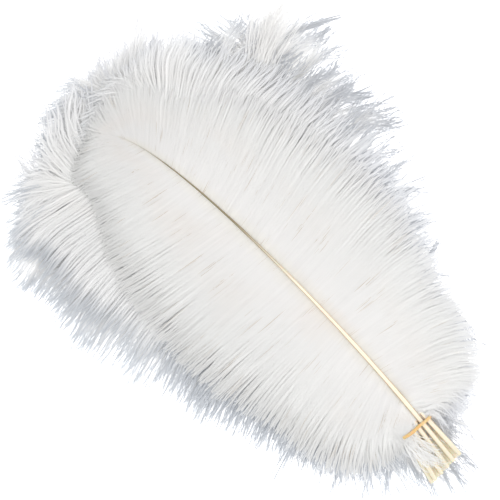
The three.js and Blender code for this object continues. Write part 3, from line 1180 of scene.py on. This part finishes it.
@dataclass(frozen=True)
class Wisp:
    """A wisp: a few curly threads from one root.

    The root and the end's height are in millimetres from the band's middle, the heading is in
    degrees clockwise from +Y, and turn is how far it turns on by its end. spread and curl are how
    far its threads head apart and wave, in degrees. place is where on the shaft its colour is
    read, tones is the part of a barb it is read from, and scatter is how far its threads' roots
    lie apart. shortest and longest are the threads' lengths as shares of its own.
    """

    plume: int
    root: tuple[float, float, float]
    heading: float
    turn: float
    length: float
    end_height: float
    threads: int
    spread: float
    curl: float = 14.0
    place: float = 0.06
    tones: tuple[float, float] = (0.4, 1.0)
    scatter: float = 1.9
    depth: float = 0.6
    shortest: float = 0.5
    longest: float = 1.08
    girths: tuple[float, float] = (0.42, 0.2)
    lean: float = 0.2
    lift: float = 0.9
    lowest: float = 0.4

    def guides(self, steps: int, rng: np.random.Generator) -> Guides:
        """Lays out the wisp's threads.

        Args:
            steps: How many points each has.
            rng: Its plume's random numbers.

        Returns:
            The guide lines.
        """
        count = self.threads
        u = np.broadcast_to(np.linspace(0, 1, steps), (count, steps))
        phase = rng.uniform(0, 1, (count, 1))
        heading = self.heading + rng.normal(0, self.spread, (count, 1)) + self.turn * u**1.3
        heading = heading + self.curl * np.sin(2 * np.pi * (1.2 * u + phase)) * u
        length = self.length * mix(self.shortest, self.longest, rng.uniform(0, 1, (count, 1)) ** 0.6)
        moves = headed(heading) * (length / (steps - 1))[..., None]
        root = np.array(self.root) + draws(rng, 1, (count, 3)) * (self.scatter, self.scatter, self.depth)
        path = root[:, None, :2] + np.cumsum(moves, axis=1) - moves[:, :1]
        z = mix(root[:, None, 2], self.end_height, u**1.1) + rng.normal(0, self.lift, (count, 1)) * u
        z = np.maximum(HOLD.press(path, z), self.lowest)
        flat = np.zeros_like(u)
        side = np.sign(np.sin(np.radians(self.heading)))
        girth = mix(*self.girths, u) * MM + flat
        lean = rng.normal(0, self.lean, (count, 1)) + flat
        points = np.concatenate([path, z[..., None]], axis=2)
        return Guides(points, mix(*self.tones, u), self.place + flat, side + flat, girth, lean)


# WHITE reads the barbs' pale middles, and SHADED_ENDS their grey ends, which are painted shade
WHITE = (0.1, 0.7)
SHADED_ENDS = (0.88, 1.0)
WISPS = (
    # left of the quills, hanging to the surface
    Wisp(10, (-17, 8, 9), -152, 22, 40, 1.2, 16, 13),
    Wisp(9, (-18, 3, 10), -164, 18, 44, 2.0, 18, 12),
    Wisp(9, (-17, -2, 12), -176, 10, 38, 2.5, 16, 12),
    Wisp(4, (-15, 2, 17), -158, 26, 34, 6.0, 16, 14),
    # over the left quills
    Wisp(4, (-13, 2, 20.6), -173, -10, 30, 16.0, 22, 12, tones=WHITE),
    Wisp(2, (-9, 1, 20.8), -178, -16, 28, 17.0, 16, 12, tones=WHITE),
    Wisp(4, (-15, -3, 19.6), 178, -22, 34, 13.0, 18, 12, tones=WHITE),
    # right of the quills
    Wisp(4, (14, 5, 17), 162, 14, 34, 5.0, 18, 12),
    Wisp(9, (15, 2, 13), 172, 12, 38, 2.0, 18, 11),
    Wisp(4, (13, 8, 19), 150, 18, 26, 8.0, 12, 13),
    # long strands out to the right
    Wisp(9, (22, 8, 9), 131, 8, 40, 3.0, 12, 2.0, 4.0, tones=SHADED_ENDS, scatter=1.2),
    Wisp(4, (19, 4, 13), 142, -8, 32, 4.0, 10, 2.5, 4.0, tones=SHADED_ENDS, scatter=1.2),
    # under the quills' ends
    Wisp(10, (-24, -14, 4), -168, 10, 42, 0.8, 16, 8, tones=SHADED_ENDS),
    Wisp(10, (-14, -22, 3), 180, 8, 44, 0.8, 18, 8, tones=SHADED_ENDS),
    Wisp(9, (-7, -26, 4), 174, -10, 42, 0.8, 16, 8, tones=SHADED_ENDS),
    Wisp(9, (2, -20, 4), 168, 12, 42, 0.8, 18, 9, tones=SHADED_ENDS),
    Wisp(9, (6, -14, 4), 172, 8, 48, 0.8, 14, 4, tones=SHADED_ENDS),
    Wisp(10, (-14.5, -17, 3), -155, 4, 42, 0.8, 14, 2.0, 4.0, tones=SHADED_ENDS, scatter=1.2),
    Wisp(10, (-7, -25, 3), -162, 4, 40, 0.8, 14, 2.0, 4.0, tones=SHADED_ENDS, scatter=1.2),
    Wisp(10, (0, -29, 3), -166, 6, 46, 0.8, 14, 2.0, 4.0, tones=SHADED_ENDS, scatter=1.2),
    # spikes of down at the lower left
    Wisp(10, (-60, 20, 2), -104, -10, 38, 0.8, 12, 2, 3.0, tones=SHADED_ENDS),
    Wisp(10, (-46, 6, 2), -122, -8, 38, 0.8, 12, 2, 3.0, tones=SHADED_ENDS),
    Wisp(9, (-34, -3, 3), -130, 6, 34, 0.8, 12, 2, 3.0, tones=SHADED_ENDS),
    # the curled tip at the upper right, and the one long barb beyond it
    Wisp(9, (103, 268, 22), 44, 44, 86, 17.0, 90, 7, 7.0, 0.97, tones=(0.2, 0.6), scatter=4.0),
    Wisp(9, (108, 270, 20), 34, 38, 72, 16.0, 44, 10, 8.0, 0.97, tones=(0.4, 0.72), scatter=5.0),
    Wisp(9, (120, 274, 16), 58, 40, 56, 14.0, 46, 13, 10.0, 0.98, tones=(0.4, 0.9), scatter=4.0),
    Wisp(9, (151, 284, 16), 109, 16, 47, 14.0, 26, 1.0, 2.0, 0.98, tones=(0.9, 1.0), scatter=1.0),
    # spikes where the outline is ragged, grey with the barbs' painted shade
    Wisp(5, (14, 352, 20), -12, 6, 34, 12.0, 12, 5, 5.0, 0.97, tones=SHADED_ENDS, scatter=3.0),
    Wisp(5, (30, 356, 20), 16, 14, 32, 12.0, 12, 5, 5.0, 0.97, tones=SHADED_ENDS, scatter=3.0),
    Wisp(3, (-72, 328, 20), -76, -8, 44, 12.0, 12, 5, 5.0, 0.97, tones=SHADED_ENDS, scatter=4.0),
    Wisp(3, (-62, 340, 20), -58, -8, 44, 12.0, 12, 5, 5.0, 0.97, tones=SHADED_ENDS, scatter=4.0),
    Wisp(10, (-78, 60, 2), -104, -6, 36, 0.8, 12, 3, 4.0, tones=SHADED_ENDS),
    # curved barbs along the right, near the quills
    Wisp(9, (76, 62, 6), 148, 44, 48, 1.0, 14, 3, 6.0, tones=SHADED_ENDS),
    Wisp(9, (72, 50, 6), 146, 42, 46, 1.0, 14, 4, 6.0, tones=SHADED_ENDS),
    Wisp(9, (66, 40, 6), 146, 30, 42, 1.0, 12, 4, 6.0, tones=SHADED_ENDS),
    Wisp(9, (80, 90, 6), 138, 6, 42, 2.0, 12, 2, 4.0, tones=SHADED_ENDS, scatter=0.8),
    Wisp(9, (90, 82, 7), 86, -10, 30, 2.0, 12, 2, 4.0, tones=SHADED_ENDS, scatter=0.8),
)


# along a barb, from its root (0) to its end (1): where it thickens and thins, closes up to its
# tuft, splays and bends
ROOT_THICKENS = (0.0, 0.08)
END_THINS = (0.75, 1.0)
GATHERED_AT = 0.95
SPLAYS = (0.8, 1.0)
BENDS = (0.55, 1.05)
# along the shaft, from the band (0) to its tip (1): where barbs get longer or shorter, and where
# they fan out to close the tip
FULL_PAST = (0.35, 0.58)
HIGH_PAST = (0.6, 0.85)
TIP_PAST = (0.9, 1.0)
FANS_PAST = (0.93, 1.0)
END_FANS_PAST = (0.965, 0.99)


@dataclass
class Strands:
    """The barbs of one side of a plume, while they are laid out.

    share is where each grows on the shaft, u has the places of its points along it, tuft is its
    tuft's number, down is how downy it is, and rng gives the plume's own random numbers.
    """

    side: Side
    habit: Habit
    share: np.ndarray
    u: np.ndarray
    tuft: np.ndarray
    down: np.ndarray
    rng: np.random.Generator

    @property
    def count(self) -> int:
        """How many there are."""
        return len(self.share)

    def each(self) -> np.ndarray:
        """A random number from 0 to 1 for each barb."""
        return self.rng.uniform(0, 1, (self.count, 1))

    def waves(self) -> np.ndarray:
        """Bends barbs from side to side, a tuft's barbs mostly together.

        Returns:
            How far each point moves to its barb's side.
        """
        u = self.u
        phases = np.cumsum(self.rng.normal(0, self.habit.unlike, int(self.tuft.max()) + 1))
        phases = phases[self.tuft][:, None]
        own = self.each()
        together = np.sin(2 * np.pi * (1.1 * u + phases)) - np.sin(2 * np.pi * phases)
        apart = np.sin(2 * np.pi * (1.7 * u + own)) - np.sin(2 * np.pi * own)
        return u**1.2 * self.habit.waves * ((1 + self.down) * together + (0.8 + 1.5 * self.down) * apart)

    def lean(self) -> np.ndarray:
        """Turns the barbs' flat faces a little, and further along some of their length.

        Returns:
            The turns at each point.
        """
        lean = self.rng.normal(0, self.habit.lean, (self.count, 1))
        return lean + self.habit.lean * np.sin(2 * np.pi * (self.u + self.each()))


@dataclass
class Vane:
    """The barbs of one plume: fine threads that gather into tufts towards their ends.

    per_side barbs grow along each side from down_from, in millimetres from the band, and
    tip_brush more close the tip, where tip_fan is how many degrees they usually turn. Fuzz grows
    on the outer part of a barb, from fuzz_from. reach lengthens all barbs, and tip_reach those
    round the tip. Lengths are in millimetres.
    """

    plume: Plume
    course: Course
    left: Habit
    right: Habit
    per_side: int
    fuzz_spacing: float
    fuzz_length: float
    fuzz_width: float
    fuzz_from: float
    steps: int
    reach: float = 1.0
    tip_reach: float = 0.0
    tip_brush: int = 130
    tip_fan: float = 15.0
    end_fan: float = 18.0
    brush_share: float = 0.3
    down_from: float = 7.0
    root_share: float = 0.3
    own_spread: float = 0.012
    lift: float = 1.4
    droop: float = 3.0
    settles: float = 30.0
    lowest: float = 0.35
    thinnest: float = 0.6
    full_length: float = 60.0
    seed: int = 20

    def guides(self) -> Guides:
        """Lays out the guide lines of every barb.

        Returns:
            The lines.
        """
        rng = np.random.default_rng(self.seed + self.plume.number)
        sides = [self._side(Side.LEFT, self.left, rng), self._side(Side.RIGHT, self.right, rng)]
        wisps = [wisp.guides(self.steps, rng) for wisp in WISPS if wisp.plume == self.plume.number]
        return Guides.joined(sides + wisps)

    def _side(self, side: Side, habit: Habit, rng: np.random.Generator) -> Guides:
        """Lays out the barbs of one side.

        Args:
            side: Which side it is.
            habit: How its barbs gather and bend.
            rng: The plume's own random numbers.

        Returns:
            The guide lines.
        """
        place = self._roots(rng)
        tuft_place = np.floor(place * habit.tufts_per_lock)
        tuft = (tuft_place - tuft_place.min()).astype(int)
        tufts = int(tuft.max()) + 1
        uneven = np.minimum(draws(rng, habit.uneven, tufts), habit.uneven)[tuft]
        bend = (habit.bend + draws(rng, habit.bend_spread, tufts))[tuft][:, None]
        bare = self.plume.bare / self.course.length
        share = mix(bare, 1, place / LOCKS_PER_SIDE)
        middle = mix(bare, 1, (tuft_place + 0.5) / habit.tufts_per_lock / LOCKS_PER_SIDE)
        u = np.broadcast_to(np.linspace(0, 1, self.steps) ** 0.9, (len(place), self.steps))
        down = (1 - smooth(share, *DOWN_FADES))[:, None]
        strands = Strands(side, habit, share, u, tuft, down, rng)
        sides = np.full(len(place), side.value)
        stretch = self._stretch(strands, 1 + self._lock_lengths(habit, sides, np.floor(place)) + uneven)
        path = self.course.barbs(sides, share, u, stretch)
        gathered = self.course.barbs(sides, middle, u, stretch)
        loose = rng.uniform(0.6, 1.0, len(place))[:, None] * (1 - 0.5 * down)
        pull = habit.tuft_pull * smooth(u, habit.tuft_from, GATHERED_AT) * loose
        path = self._fan_tip(mix(path, gathered, pull[..., None]), strands)
        aside = self._aside(path) * side.value
        splay = draws(rng, habit.splay, (len(place), 1)) * smooth(u, *SPLAYS)
        bends = bend * smooth(u, *BENDS) ** 1.3
        path = path + aside * (splay + bends + strands.waves())[..., None]
        points = np.concatenate([path, self._heights(path, strands)[..., None]], axis=2)
        flat = np.zeros_like(u)
        girth = self._girths(path, strands)
        return Guides(points, u, share[:, None] + flat, sides[:, None] + flat, girth, strands.lean())

    def _roots(self, rng: np.random.Generator) -> np.ndarray:
        """Spreads the barbs' roots along the shaft, and more of them round its tip.

        Args:
            rng: The plume's own random numbers.

        Returns:
            The roots' places in locks, from the quill's end.
        """
        bare = self.plume.bare
        first = (self.down_from - bare) / (self.course.length - bare) * LOCKS_PER_SIDE
        evenly = (np.arange(self.per_side) + rng.uniform(0, 1, self.per_side)) / self.per_side
        brush = (np.arange(self.tip_brush) + rng.uniform(0, 1, self.tip_brush)) / self.tip_brush
        tip = LOCKS_PER_SIDE * (1 - self.brush_share * brush**1.4)
        return np.concatenate([mix(first, LOCKS_PER_SIDE, evenly), tip])

    def _lock_lengths(self, habit: Habit, side: np.ndarray, lock: np.ndarray) -> np.ndarray:
        """How much longer each lock is, in the same pattern as the solid's locks."""
        return habit.lock_spread * unevenness(self.plume.number, side, lock)

    def _stretch(self, strands: Strands, usual: np.ndarray) -> np.ndarray:
        """Works out how long each barb is.

        Args:
            strands: The barbs.
            usual: How long the barbs of its lock and tuft are.

        Returns:
            The lengths as shares of the plume's own.
        """
        habit, share, rng = strands.habit, strands.share, strands.rng
        high = HIGH_RIGHT if strands.side is Side.RIGHT else HIGH_LEFT
        own = usual * (1 + draws(rng, self.own_spread + habit.uneven / 3, strands.count))
        own = own * (1 - habit.short * rng.uniform(0, 1, strands.count) ** 2) * self.reach
        own = own * (1 + self.tip_reach * smooth(share, *TIP_PAST))
        own = own * mix(habit.base_share, 1, smooth(share, *FULL_PAST))
        own = own * mix(1, high.get(self.plume.number, 1), smooth(share, *HIGH_PAST))
        downy = smooth(share * self.course.length, 0, ROOT_DOWN[strands.side])
        return own * mix(self.root_share, 1, downy)

    def _heights(self, path: np.ndarray, strands: Strands) -> np.ndarray:
        """Lays barbs on the heap, from the shaft's height at their roots.

        Args:
            path: The barbs in plan.
            strands: The barbs.

        Returns:
            The heights over the surface.
        """
        u, habit = strands.u, strands.habit
        z = HEAP.height(self.plume.layer, path[..., 0], path[..., 1])
        gone = np.linalg.norm(path - path[:, :1], axis=2)
        rooted = self.course.height(strands.share)[:, None] - z[:, :1]
        z = z + rooted * (1 - smooth(gone, 0, self.settles))
        z = z + self.lift * np.sin(np.pi * np.minimum(u * 1.2, 1)) - self.droop * u**3
        z = z + strands.rng.normal(0, 1, (strands.count, 1)) * mix(habit.jitter, habit.rise, u**2)
        z = z + habit.rise * u * np.sin(2 * np.pi * (u * 1.3 + strands.each()))
        return np.maximum(HOLD.press(path, z), self.lowest)

    def _girths(self, path: np.ndarray, strands: Strands) -> np.ndarray:
        """Thins barbs towards their roots and ends, and the short ones all along.

        Args:
            path: The barbs in plan.
            strands: The barbs.

        Returns:
            Half their widths, in metres.
        """
        u, habit = strands.u, strands.habit
        length = np.linalg.norm(np.diff(path, axis=1), axis=2).sum(1)
        end = mix(1.0, habit.girth_end / habit.girth, smooth(u, *END_THINS))
        slim = end * mix(self.thinnest, 1.0, smooth(u, *ROOT_THICKENS))
        return habit.girth * slim * np.clip(length / self.full_length, self.thinnest, 1)[:, None] * MM

    def _fan_tip(self, path: np.ndarray, strands: Strands) -> np.ndarray:
        """Turns the barbs at the shaft's tip a little each way, so that they close the end.

        Args:
            path: The barbs in plan.
            strands: The barbs.

        Returns:
            The barbs in plan.
        """
        share = strands.share
        most = mix(self.tip_fan, self.end_fan, smooth(share, *END_FANS_PAST))
        turn = np.radians(draws(strands.rng, 1, len(path)) * most * smooth(share, *FANS_PAST))
        cosine, sine = np.cos(turn)[:, None], np.sin(turn)[:, None]
        root = path[:, :1]
        x, y = (path - root)[..., 0], (path - root)[..., 1]
        return root + np.stack([x * cosine - y * sine, x * sine + y * cosine], axis=2)

    @staticmethod
    def _aside(path: np.ndarray) -> np.ndarray:
        """Finds which way is to the right of each barb.

        Args:
            path: The barbs in plan.

        Returns:
            Unit steps in plan, at right angles to the barb at each point.
        """
        slope = np.gradient(path, axis=1)
        slope = slope / np.maximum(np.linalg.norm(slope, axis=2, keepdims=True), 1e-6)
        return np.stack([slope[..., 1], -slope[..., 0]], axis=2)

    def build(self, tree: BarbTree, material: bpy.types.Material) -> bpy.types.Object:
        """Grows the barbs and dresses them.

        Args:
            tree: The tree that grows barbs along guides.
            material: Their material.

        Returns:
            The piece.
        """
        inputs = {
            "Fuzz spacing": self.fuzz_spacing * MM,
            "Fuzz length": self.fuzz_length * MM,
            "Fuzz width": self.fuzz_width * MM,
            "Fuzz starts at": self.fuzz_from,
            "Seed": self.seed + self.plume.number,
            "Material": material,
        }
        return tree.grow(f"{self.plume.node}_barbs", self.guides(), inputs)


# ---------------------------------------------------------------- shafts


@dataclass
class Shaft:
    """The quill and shaft of one plume: one horn rod, round at the quill and thin at the tip.

    Past its round part, top and below are the rod's heights over and under its middle as shares
    of its half width, flat is added to the top, a groove runs along its underside, and it rises
    over its layer. The quill narrows to its cut end, which has a rim and a bore. Lengths are in
    millimetres, and shares are of the rod's own sizes there.
    """

    plume: Plume
    course: Course
    quill_rings: int = 13
    shaft_rings: int = 63
    crowding: float = 1.15
    around: int = 14
    round_until: float = 40.0
    top: float = 0.95
    flat: float = 0.15
    below: float = 0.8
    groove: float = 0.72
    groove_from: float = -0.8
    rise: float = 0.5
    narrowed: float = 0.78
    narrows: float = 7.0
    bore: float = 0.55
    bore_floor: float = 0.8
    bore_depth: float = 3.0
    bore_bottom: float = 1.1
    rim: float = 0.86
    rim_out: float = 0.15

    def _rings(self) -> tuple[np.ndarray, np.ndarray]:
        """Lays out the rings of corners.

        Returns:
            The corners, ring by ring, and each ring's share of the whole rod's length.
        """
        behind = TIE.behind / self.course.length
        quill = np.linspace(-behind, 0, self.quill_rings + 1)[:-1]
        share = np.concatenate([quill, np.linspace(0, 1, self.shaft_rings) ** self.crowding])
        middle = self.course.run(share)
        across = headed(self.course.heading(np.maximum(share, 0)) + 90)
        half = shaft_half_width(share)
        rounding = 1 - smooth(share * self.course.length, 0, self.round_until)
        top = mix(half * self.top + self.flat, half, rounding)
        below = mix(half * self.below, half, rounding)
        end = (share + behind) * self.course.length
        narrowing = self.narrowed + (1 - self.narrowed) * np.sqrt(np.clip(end / self.narrows, 0, 1))
        angles = np.linspace(0, 2 * np.pi, self.around, endpoint=False)
        cosine, sine = np.cos(angles), np.sin(angles)
        groove = mix(np.where(sine < self.groove_from, self.groove, 1.0), 1.0, rounding[:, None])
        out = half[:, None] * narrowing[:, None] * cosine
        up = np.where(sine > 0, top[:, None] * sine, below[:, None] * sine * groove)
        up = up * narrowing[:, None]
        height = self.course.height(share) + mix(self.rise, 0.0, rounding)
        plan = middle[:, None, :] + across[:, None, :] * out[..., None]
        points = np.concatenate([plan, (height[:, None] + up)[..., None]], axis=2)
        return points, (share + behind) / (1 + behind)

    def build(self, material: bpy.types.Material) -> bpy.types.Object:
        """Makes the rod, with a shallow bore in its cut end, and dresses it.

        Args:
            material: Its material.

        Returns:
            The piece.
        """
        points, shares = self._rings()
        first = points[0]
        centre = first.mean(axis=0)
        inward = points[2].mean(axis=0) - centre
        inward = inward / np.linalg.norm(inward)
        rim = centre + (first - centre) * self.rim - inward * self.rim_out
        lip = centre + (first - centre) * self.bore
        floor = centre + (first - centre) * self.bore * self.bore_floor + inward * self.bore_depth
        bottom = centre + inward * self.bore_depth * self.bore_bottom
        stack = np.concatenate([floor[None], lip[None], rim[None], points])
        rows = np.concatenate([[0.0, 0.004, 0.008], mix(0.012, 0.99, shares)])
        corners = np.concatenate([stack.reshape(-1, 3), bottom[None], points[-1].mean(axis=0)[None]])
        n = self.around
        faces = tube(len(stack), n)
        spread = []
        for low, high in zip(rows, rows[1:]):
            for step in range(n):
                left, right = step / n, (step + 1) / n
                spread += [(left, low), (right, low), (right, high), (left, high)]
        last, bottom_at, tip_at = (len(stack) - 1) * n, len(stack) * n, len(stack) * n + 1
        for step in range(n):
            ahead = (step + 1) % n
            left, right = step / n, (step + 1) / n
            faces.append((ahead, step, bottom_at))
            spread += [(right, 0.001), (left, 0.001), ((left + right) / 2, 0.0)]
            faces.append((last + step, last + ahead, tip_at))
            spread += [(left, 0.992), (right, 0.992), ((left + right) / 2, 0.999)]
        piece = new_mesh(f"{self.plume.node}_shaft", place_in_frame(corners), faces)
        layer = piece.data.uv_layers.new(name=BAKED_MAP)
        layer.data.foreach_set("uv", np.array(spread, np.float32).ravel())
        return dress(piece, material)


# ---------------------------------------------------------------- rubber band


@dataclass
class Band:
    """The rubber band stretched round both rows of quills.

    half_width and half_height are of the room inside it. It sways along the quills and swells in
    width a little on its way round.
    """

    half_width: float = 13.625
    half_height: float = 4.8
    corner: float = 2.6
    thickness: float = 1.1
    width: float = 2.6
    sway: float = 0.35
    ripple: float = 0.2
    swell: float = 0.06
    turns: int = 96
    section: int = 12
    squareness: float = 0.5

    def _loop(self) -> tuple[np.ndarray, np.ndarray]:
        """The band's middle line round the quills.

        Returns:
            Points with across and up, and the outward directions there.
        """
        grow = self.thickness / 2
        w, h, r = self.half_width + grow, self.half_height + grow, self.corner + grow
        bend = math.pi * r / 2
        # the straight runs and the corners in turn, from the right side up and round
        runs = (2 * (h - r), bend, 2 * (w - r), bend) * 2
        starts = ((w, r - h), (w - r, h), (-w, h - r), (r - w, -h))
        centres = ((w - r, h - r), (r - w, h - r), (r - w, r - h), (w - r, r - h))
        whole = 2 * (2 * (w - r) + 2 * (h - r)) + 4 * bend
        points, outs = [], []
        for distance in np.arange(self.turns) / self.turns * whole:
            run = 0
            while distance > runs[run]:
                distance -= runs[run]
                run += 1
            quarter, cornering = divmod(run, 2)
            facing = math.pi / 2 * quarter
            angle = facing + distance / r if cornering else facing
            out = np.array([math.cos(angle), math.sin(angle)])
            if cornering:
                points.append(np.array(centres[quarter]) + out * r)
            else:
                points.append(np.array(starts[quarter]) + np.array([-out[1], out[0]]) * distance)
            outs.append(out)
        return np.array(points), np.array(outs)

    def build(self, material: bpy.types.Material) -> bpy.types.Object:
        """Sweeps the band's rounded section round the quills and dresses it.

        Args:
            material: Its material.

        Returns:
            The piece.
        """
        loop, outs = self._loop()
        turn = np.arange(self.turns) / self.turns * 2 * np.pi
        sway = self.sway * np.sin(2 * turn + 0.6) + self.ripple * np.sin(5 * turn)
        swell = 1 + self.swell * np.sin(3 * turn + 1.0)
        angles = np.arange(self.section) / self.section * 2 * np.pi
        round_x = np.sign(np.cos(angles)) * np.abs(np.cos(angles)) ** self.squareness
        round_y = np.sign(np.sin(angles)) * np.abs(np.sin(angles)) ** self.squareness
        out = round_x * self.thickness / 2
        along_y = (round_y * self.width / 2)[None, :] * swell[:, None] + sway[:, None]
        flat = loop[:, None, :] + outs[:, None, :] * out[None, :, None]
        cosine, sine = math.cos(math.radians(BAND_TILT)), math.sin(math.radians(BAND_TILT))
        x = TIE.middle + flat[..., 0] * cosine - along_y * sine
        y = flat[..., 0] * sine + along_y * cosine
        corners = np.stack([x, y, flat[..., 1] + TIE.height], axis=2).reshape(-1, 3)
        faces = tube(self.turns, self.section, closed=True)
        return dress(new_mesh("rubber_band_loop", place_in_frame(corners), faces), material)


# ---------------------------------------------------------------- studio


@dataclass
class Studio:
    """A white sweep of paper, a large soft light and the camera above.

    target, distance, field and sensor are in millimetres, with the target from the band's
    middle. The other lengths are in metres.
    """

    target: tuple[float, float, float] = (10.6, 190.1, 20.0)
    distance: float = 1500.0
    field: float = 390.0
    sensor: float = 36.0
    sees_until: float = 20.0
    right: tuple[float, float] = (0.686, -0.728)
    paper_half: float = 3.0
    fill: float = 1.0
    key_power: float = 4.5
    key_size: float = 1.4
    key_from: tuple[float, float, float] = (0.3, -0.9, 1.7)
    key_away: float = 1.3

    @property
    def aim(self) -> Vector:
        """The point that the camera and the light look at, in the frame."""
        return Vector(place_in_frame(np.array(self.target)))

    def floor(self) -> bpy.types.Object:
        """Lays the paper.

        Returns:
            The floor.
        """
        ends = ((-1, -1, 0), (1, -1, 0), (1, 1, 0), (-1, 1, 0))
        floor = new_mesh("floor", np.array(ends, float) * self.paper_half, [(0, 1, 2, 3)])
        floor.data.materials.append(PaperFinish().material())
        return floor

    def lights(self) -> None:
        """Hangs a soft light at the quills' end, and fills the room with white."""
        world = bpy.data.worlds.new("white room")
        bpy.context.scene.world = world
        world.use_nodes = True
        world.node_tree.nodes.clear()
        sky = add(world.node_tree, "ShaderNodeBackground", {0: linear("#FFFFFF"), 1: self.fill})
        add(world.node_tree, "ShaderNodeOutputWorld", {0: sky})
        lamp = bpy.data.lights.new("soft_key", "AREA")
        lamp.shape = "DISK"
        lamp.size = self.key_size
        lamp.energy = self.key_power
        key = new_object("soft_key", lamp)
        away = Vector(self.key_from).normalized()
        key.location = self.aim + away * self.key_away
        key.rotation_euler = away.to_track_quat("Z", "Y").to_euler()

    def camera(self) -> None:
        """Puts the camera straight above, turned so that the quills point to the lower right."""
        lens = bpy.data.cameras.new("camera")
        lens.sensor_width = self.sensor
        lens.lens = self.sensor * self.distance / self.field
        lens.clip_end = self.sees_until
        camera = new_object("camera", lens)
        across = Vector((*self.right, 0.0)).normalized()
        back = Vector((0.0, 0.0, 1.0))
        turn = Matrix((across, back.cross(across), back)).transposed().to_4x4()
        camera.matrix_world = Matrix.Translation(self.aim + back * self.distance * MM) @ turn
        bpy.context.scene.camera = camera

    def build(self) -> None:
        """Builds the studio."""
        self.floor()
        self.lights()
        self.camera()
        scene = bpy.context.scene
        scene.view_settings.view_transform = "Standard"
        scene.view_settings.look = "None"


# ---------------------------------------------------------------- the bunch


class Standing(Enum):
    """Where a plume lies in the bunch, which decides how well it is kept and its finish, whose painted shade
    at the barbs' ends differs by where it lies.
    """

    TOP = "top"
    INNER = "inner"
    LOWER = "lower"
    OUTERMOST = "outermost"


STANDINGS = {
    1: Standing.TOP, 2: Standing.INNER, 6: Standing.INNER, 4: Standing.OUTERMOST, 9: Standing.OUTERMOST
}
# the plumes with a thick brush of barbs at the tip, and how much longer most plumes' barbs are
# than their solid's locks
BRUSHY = (5, 8)
WELL_GROWN = 1.07
PALE = {
    "root": "#FBFBFA", "body": "#FCFCFB", "outer": "#F9F9F9",
    "warm_share": 0.06, "flecks": 0.0, "painted_down_shade": 1.11,
}
# the finishes are copies of one with more or less painted shade at the barbs' ends: greyest on the outermost
# plumes, faintest on the inner ones
FINISHES = {
    Standing.TOP: BarbFinish(
        "bleached ostrich barbs", "#EBEBEA", painted_shade_starts=(0.03, 0.15, 0.88, 0.98), painted_tip_shade=0.955
    ),
    Standing.LOWER: BarbFinish(
        "bleached ostrich barbs, lower plumes", "#D9DCE0", "#E9EAED", (0.045, 0.13, 0.89, 0.985), **PALE
    ),
    Standing.INNER: BarbFinish("bleached ostrich barbs, inner plumes", "#F1F2F3", "#F0F1F3", **PALE),
    Standing.OUTERMOST: BarbFinish(
        "bleached ostrich barbs, outermost plumes", "#D9DCE0", "#D3D5D9", (0.045, 0.13, 0.84, 0.94), **PALE
    ),
}
RIGHT_HABITS = {Standing.INNER: COMBED, Standing.LOWER: TWIGGY, Standing.OUTERMOST: SPARSE}


def vane_of(plume: Plume, course: Course, standing: Standing) -> Vane:
    """Chooses how a plume's barbs grow.

    Args:
        plume: The plume.
        course: The run of its shaft.
        standing: Where it lies in the bunch.

    Returns:
        Its vane.
    """
    if standing is Standing.TOP:
        return Vane(
            plume, course, SLEEK, SLEEK, per_side=1260, fuzz_spacing=1.35, fuzz_length=2.8, fuzz_width=0.3,
            fuzz_from=0.56, tip_brush=500, tip_fan=7.0, steps=12,
        )
    brushy = plume.number in BRUSHY
    return Vane(
        plume, course, COMBED, RIGHT_HABITS[standing],
        per_side=570 if plume.number == 2 else 470,
        fuzz_spacing=1.0,
        fuzz_length=3.0 if standing is Standing.OUTERMOST else 3.8,
        fuzz_width=0.32,
        fuzz_from=0.6 if brushy else 0.42,
        reach=1.0 if plume.number == 9 else WELL_GROWN,
        tip_reach=TIP_REACH[plume.number],
        tip_brush=280 if brushy else 130,
        steps=11,
    )


def stand_for(piece: bpy.types.Object, node: str) -> None:
    """Puts a finished piece in the place of a solid.

    Args:
        piece: The piece.
        node: The solid's name.
    """
    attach(piece, "root")
    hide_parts(node)
    log.info("%s: %d faces", piece.name, len(piece.data.polygons))


def main() -> None:
    """Builds the bunch and the studio round it."""
    logging.basicConfig(level=logging.INFO, format="%(message)s")
    tree = BarbTree()
    finishes = {standing: finish.material() for standing, finish in FINISHES.items()}
    horn = ShaftFinish().material()
    for plume in PLUMES:
        course = Course(plume)
        standing = STANDINGS.get(plume.number, Standing.LOWER)
        vane = vane_of(plume, course, standing)
        stand_for(vane.build(tree, finishes[standing]), plume.node)
        stand_for(Shaft(plume, course).build(horn), plume.node)
    stand_for(Band().build(RubberFinish().material()), "rubber_band")
    Studio().build()


if __name__ == "__main__":
    main()
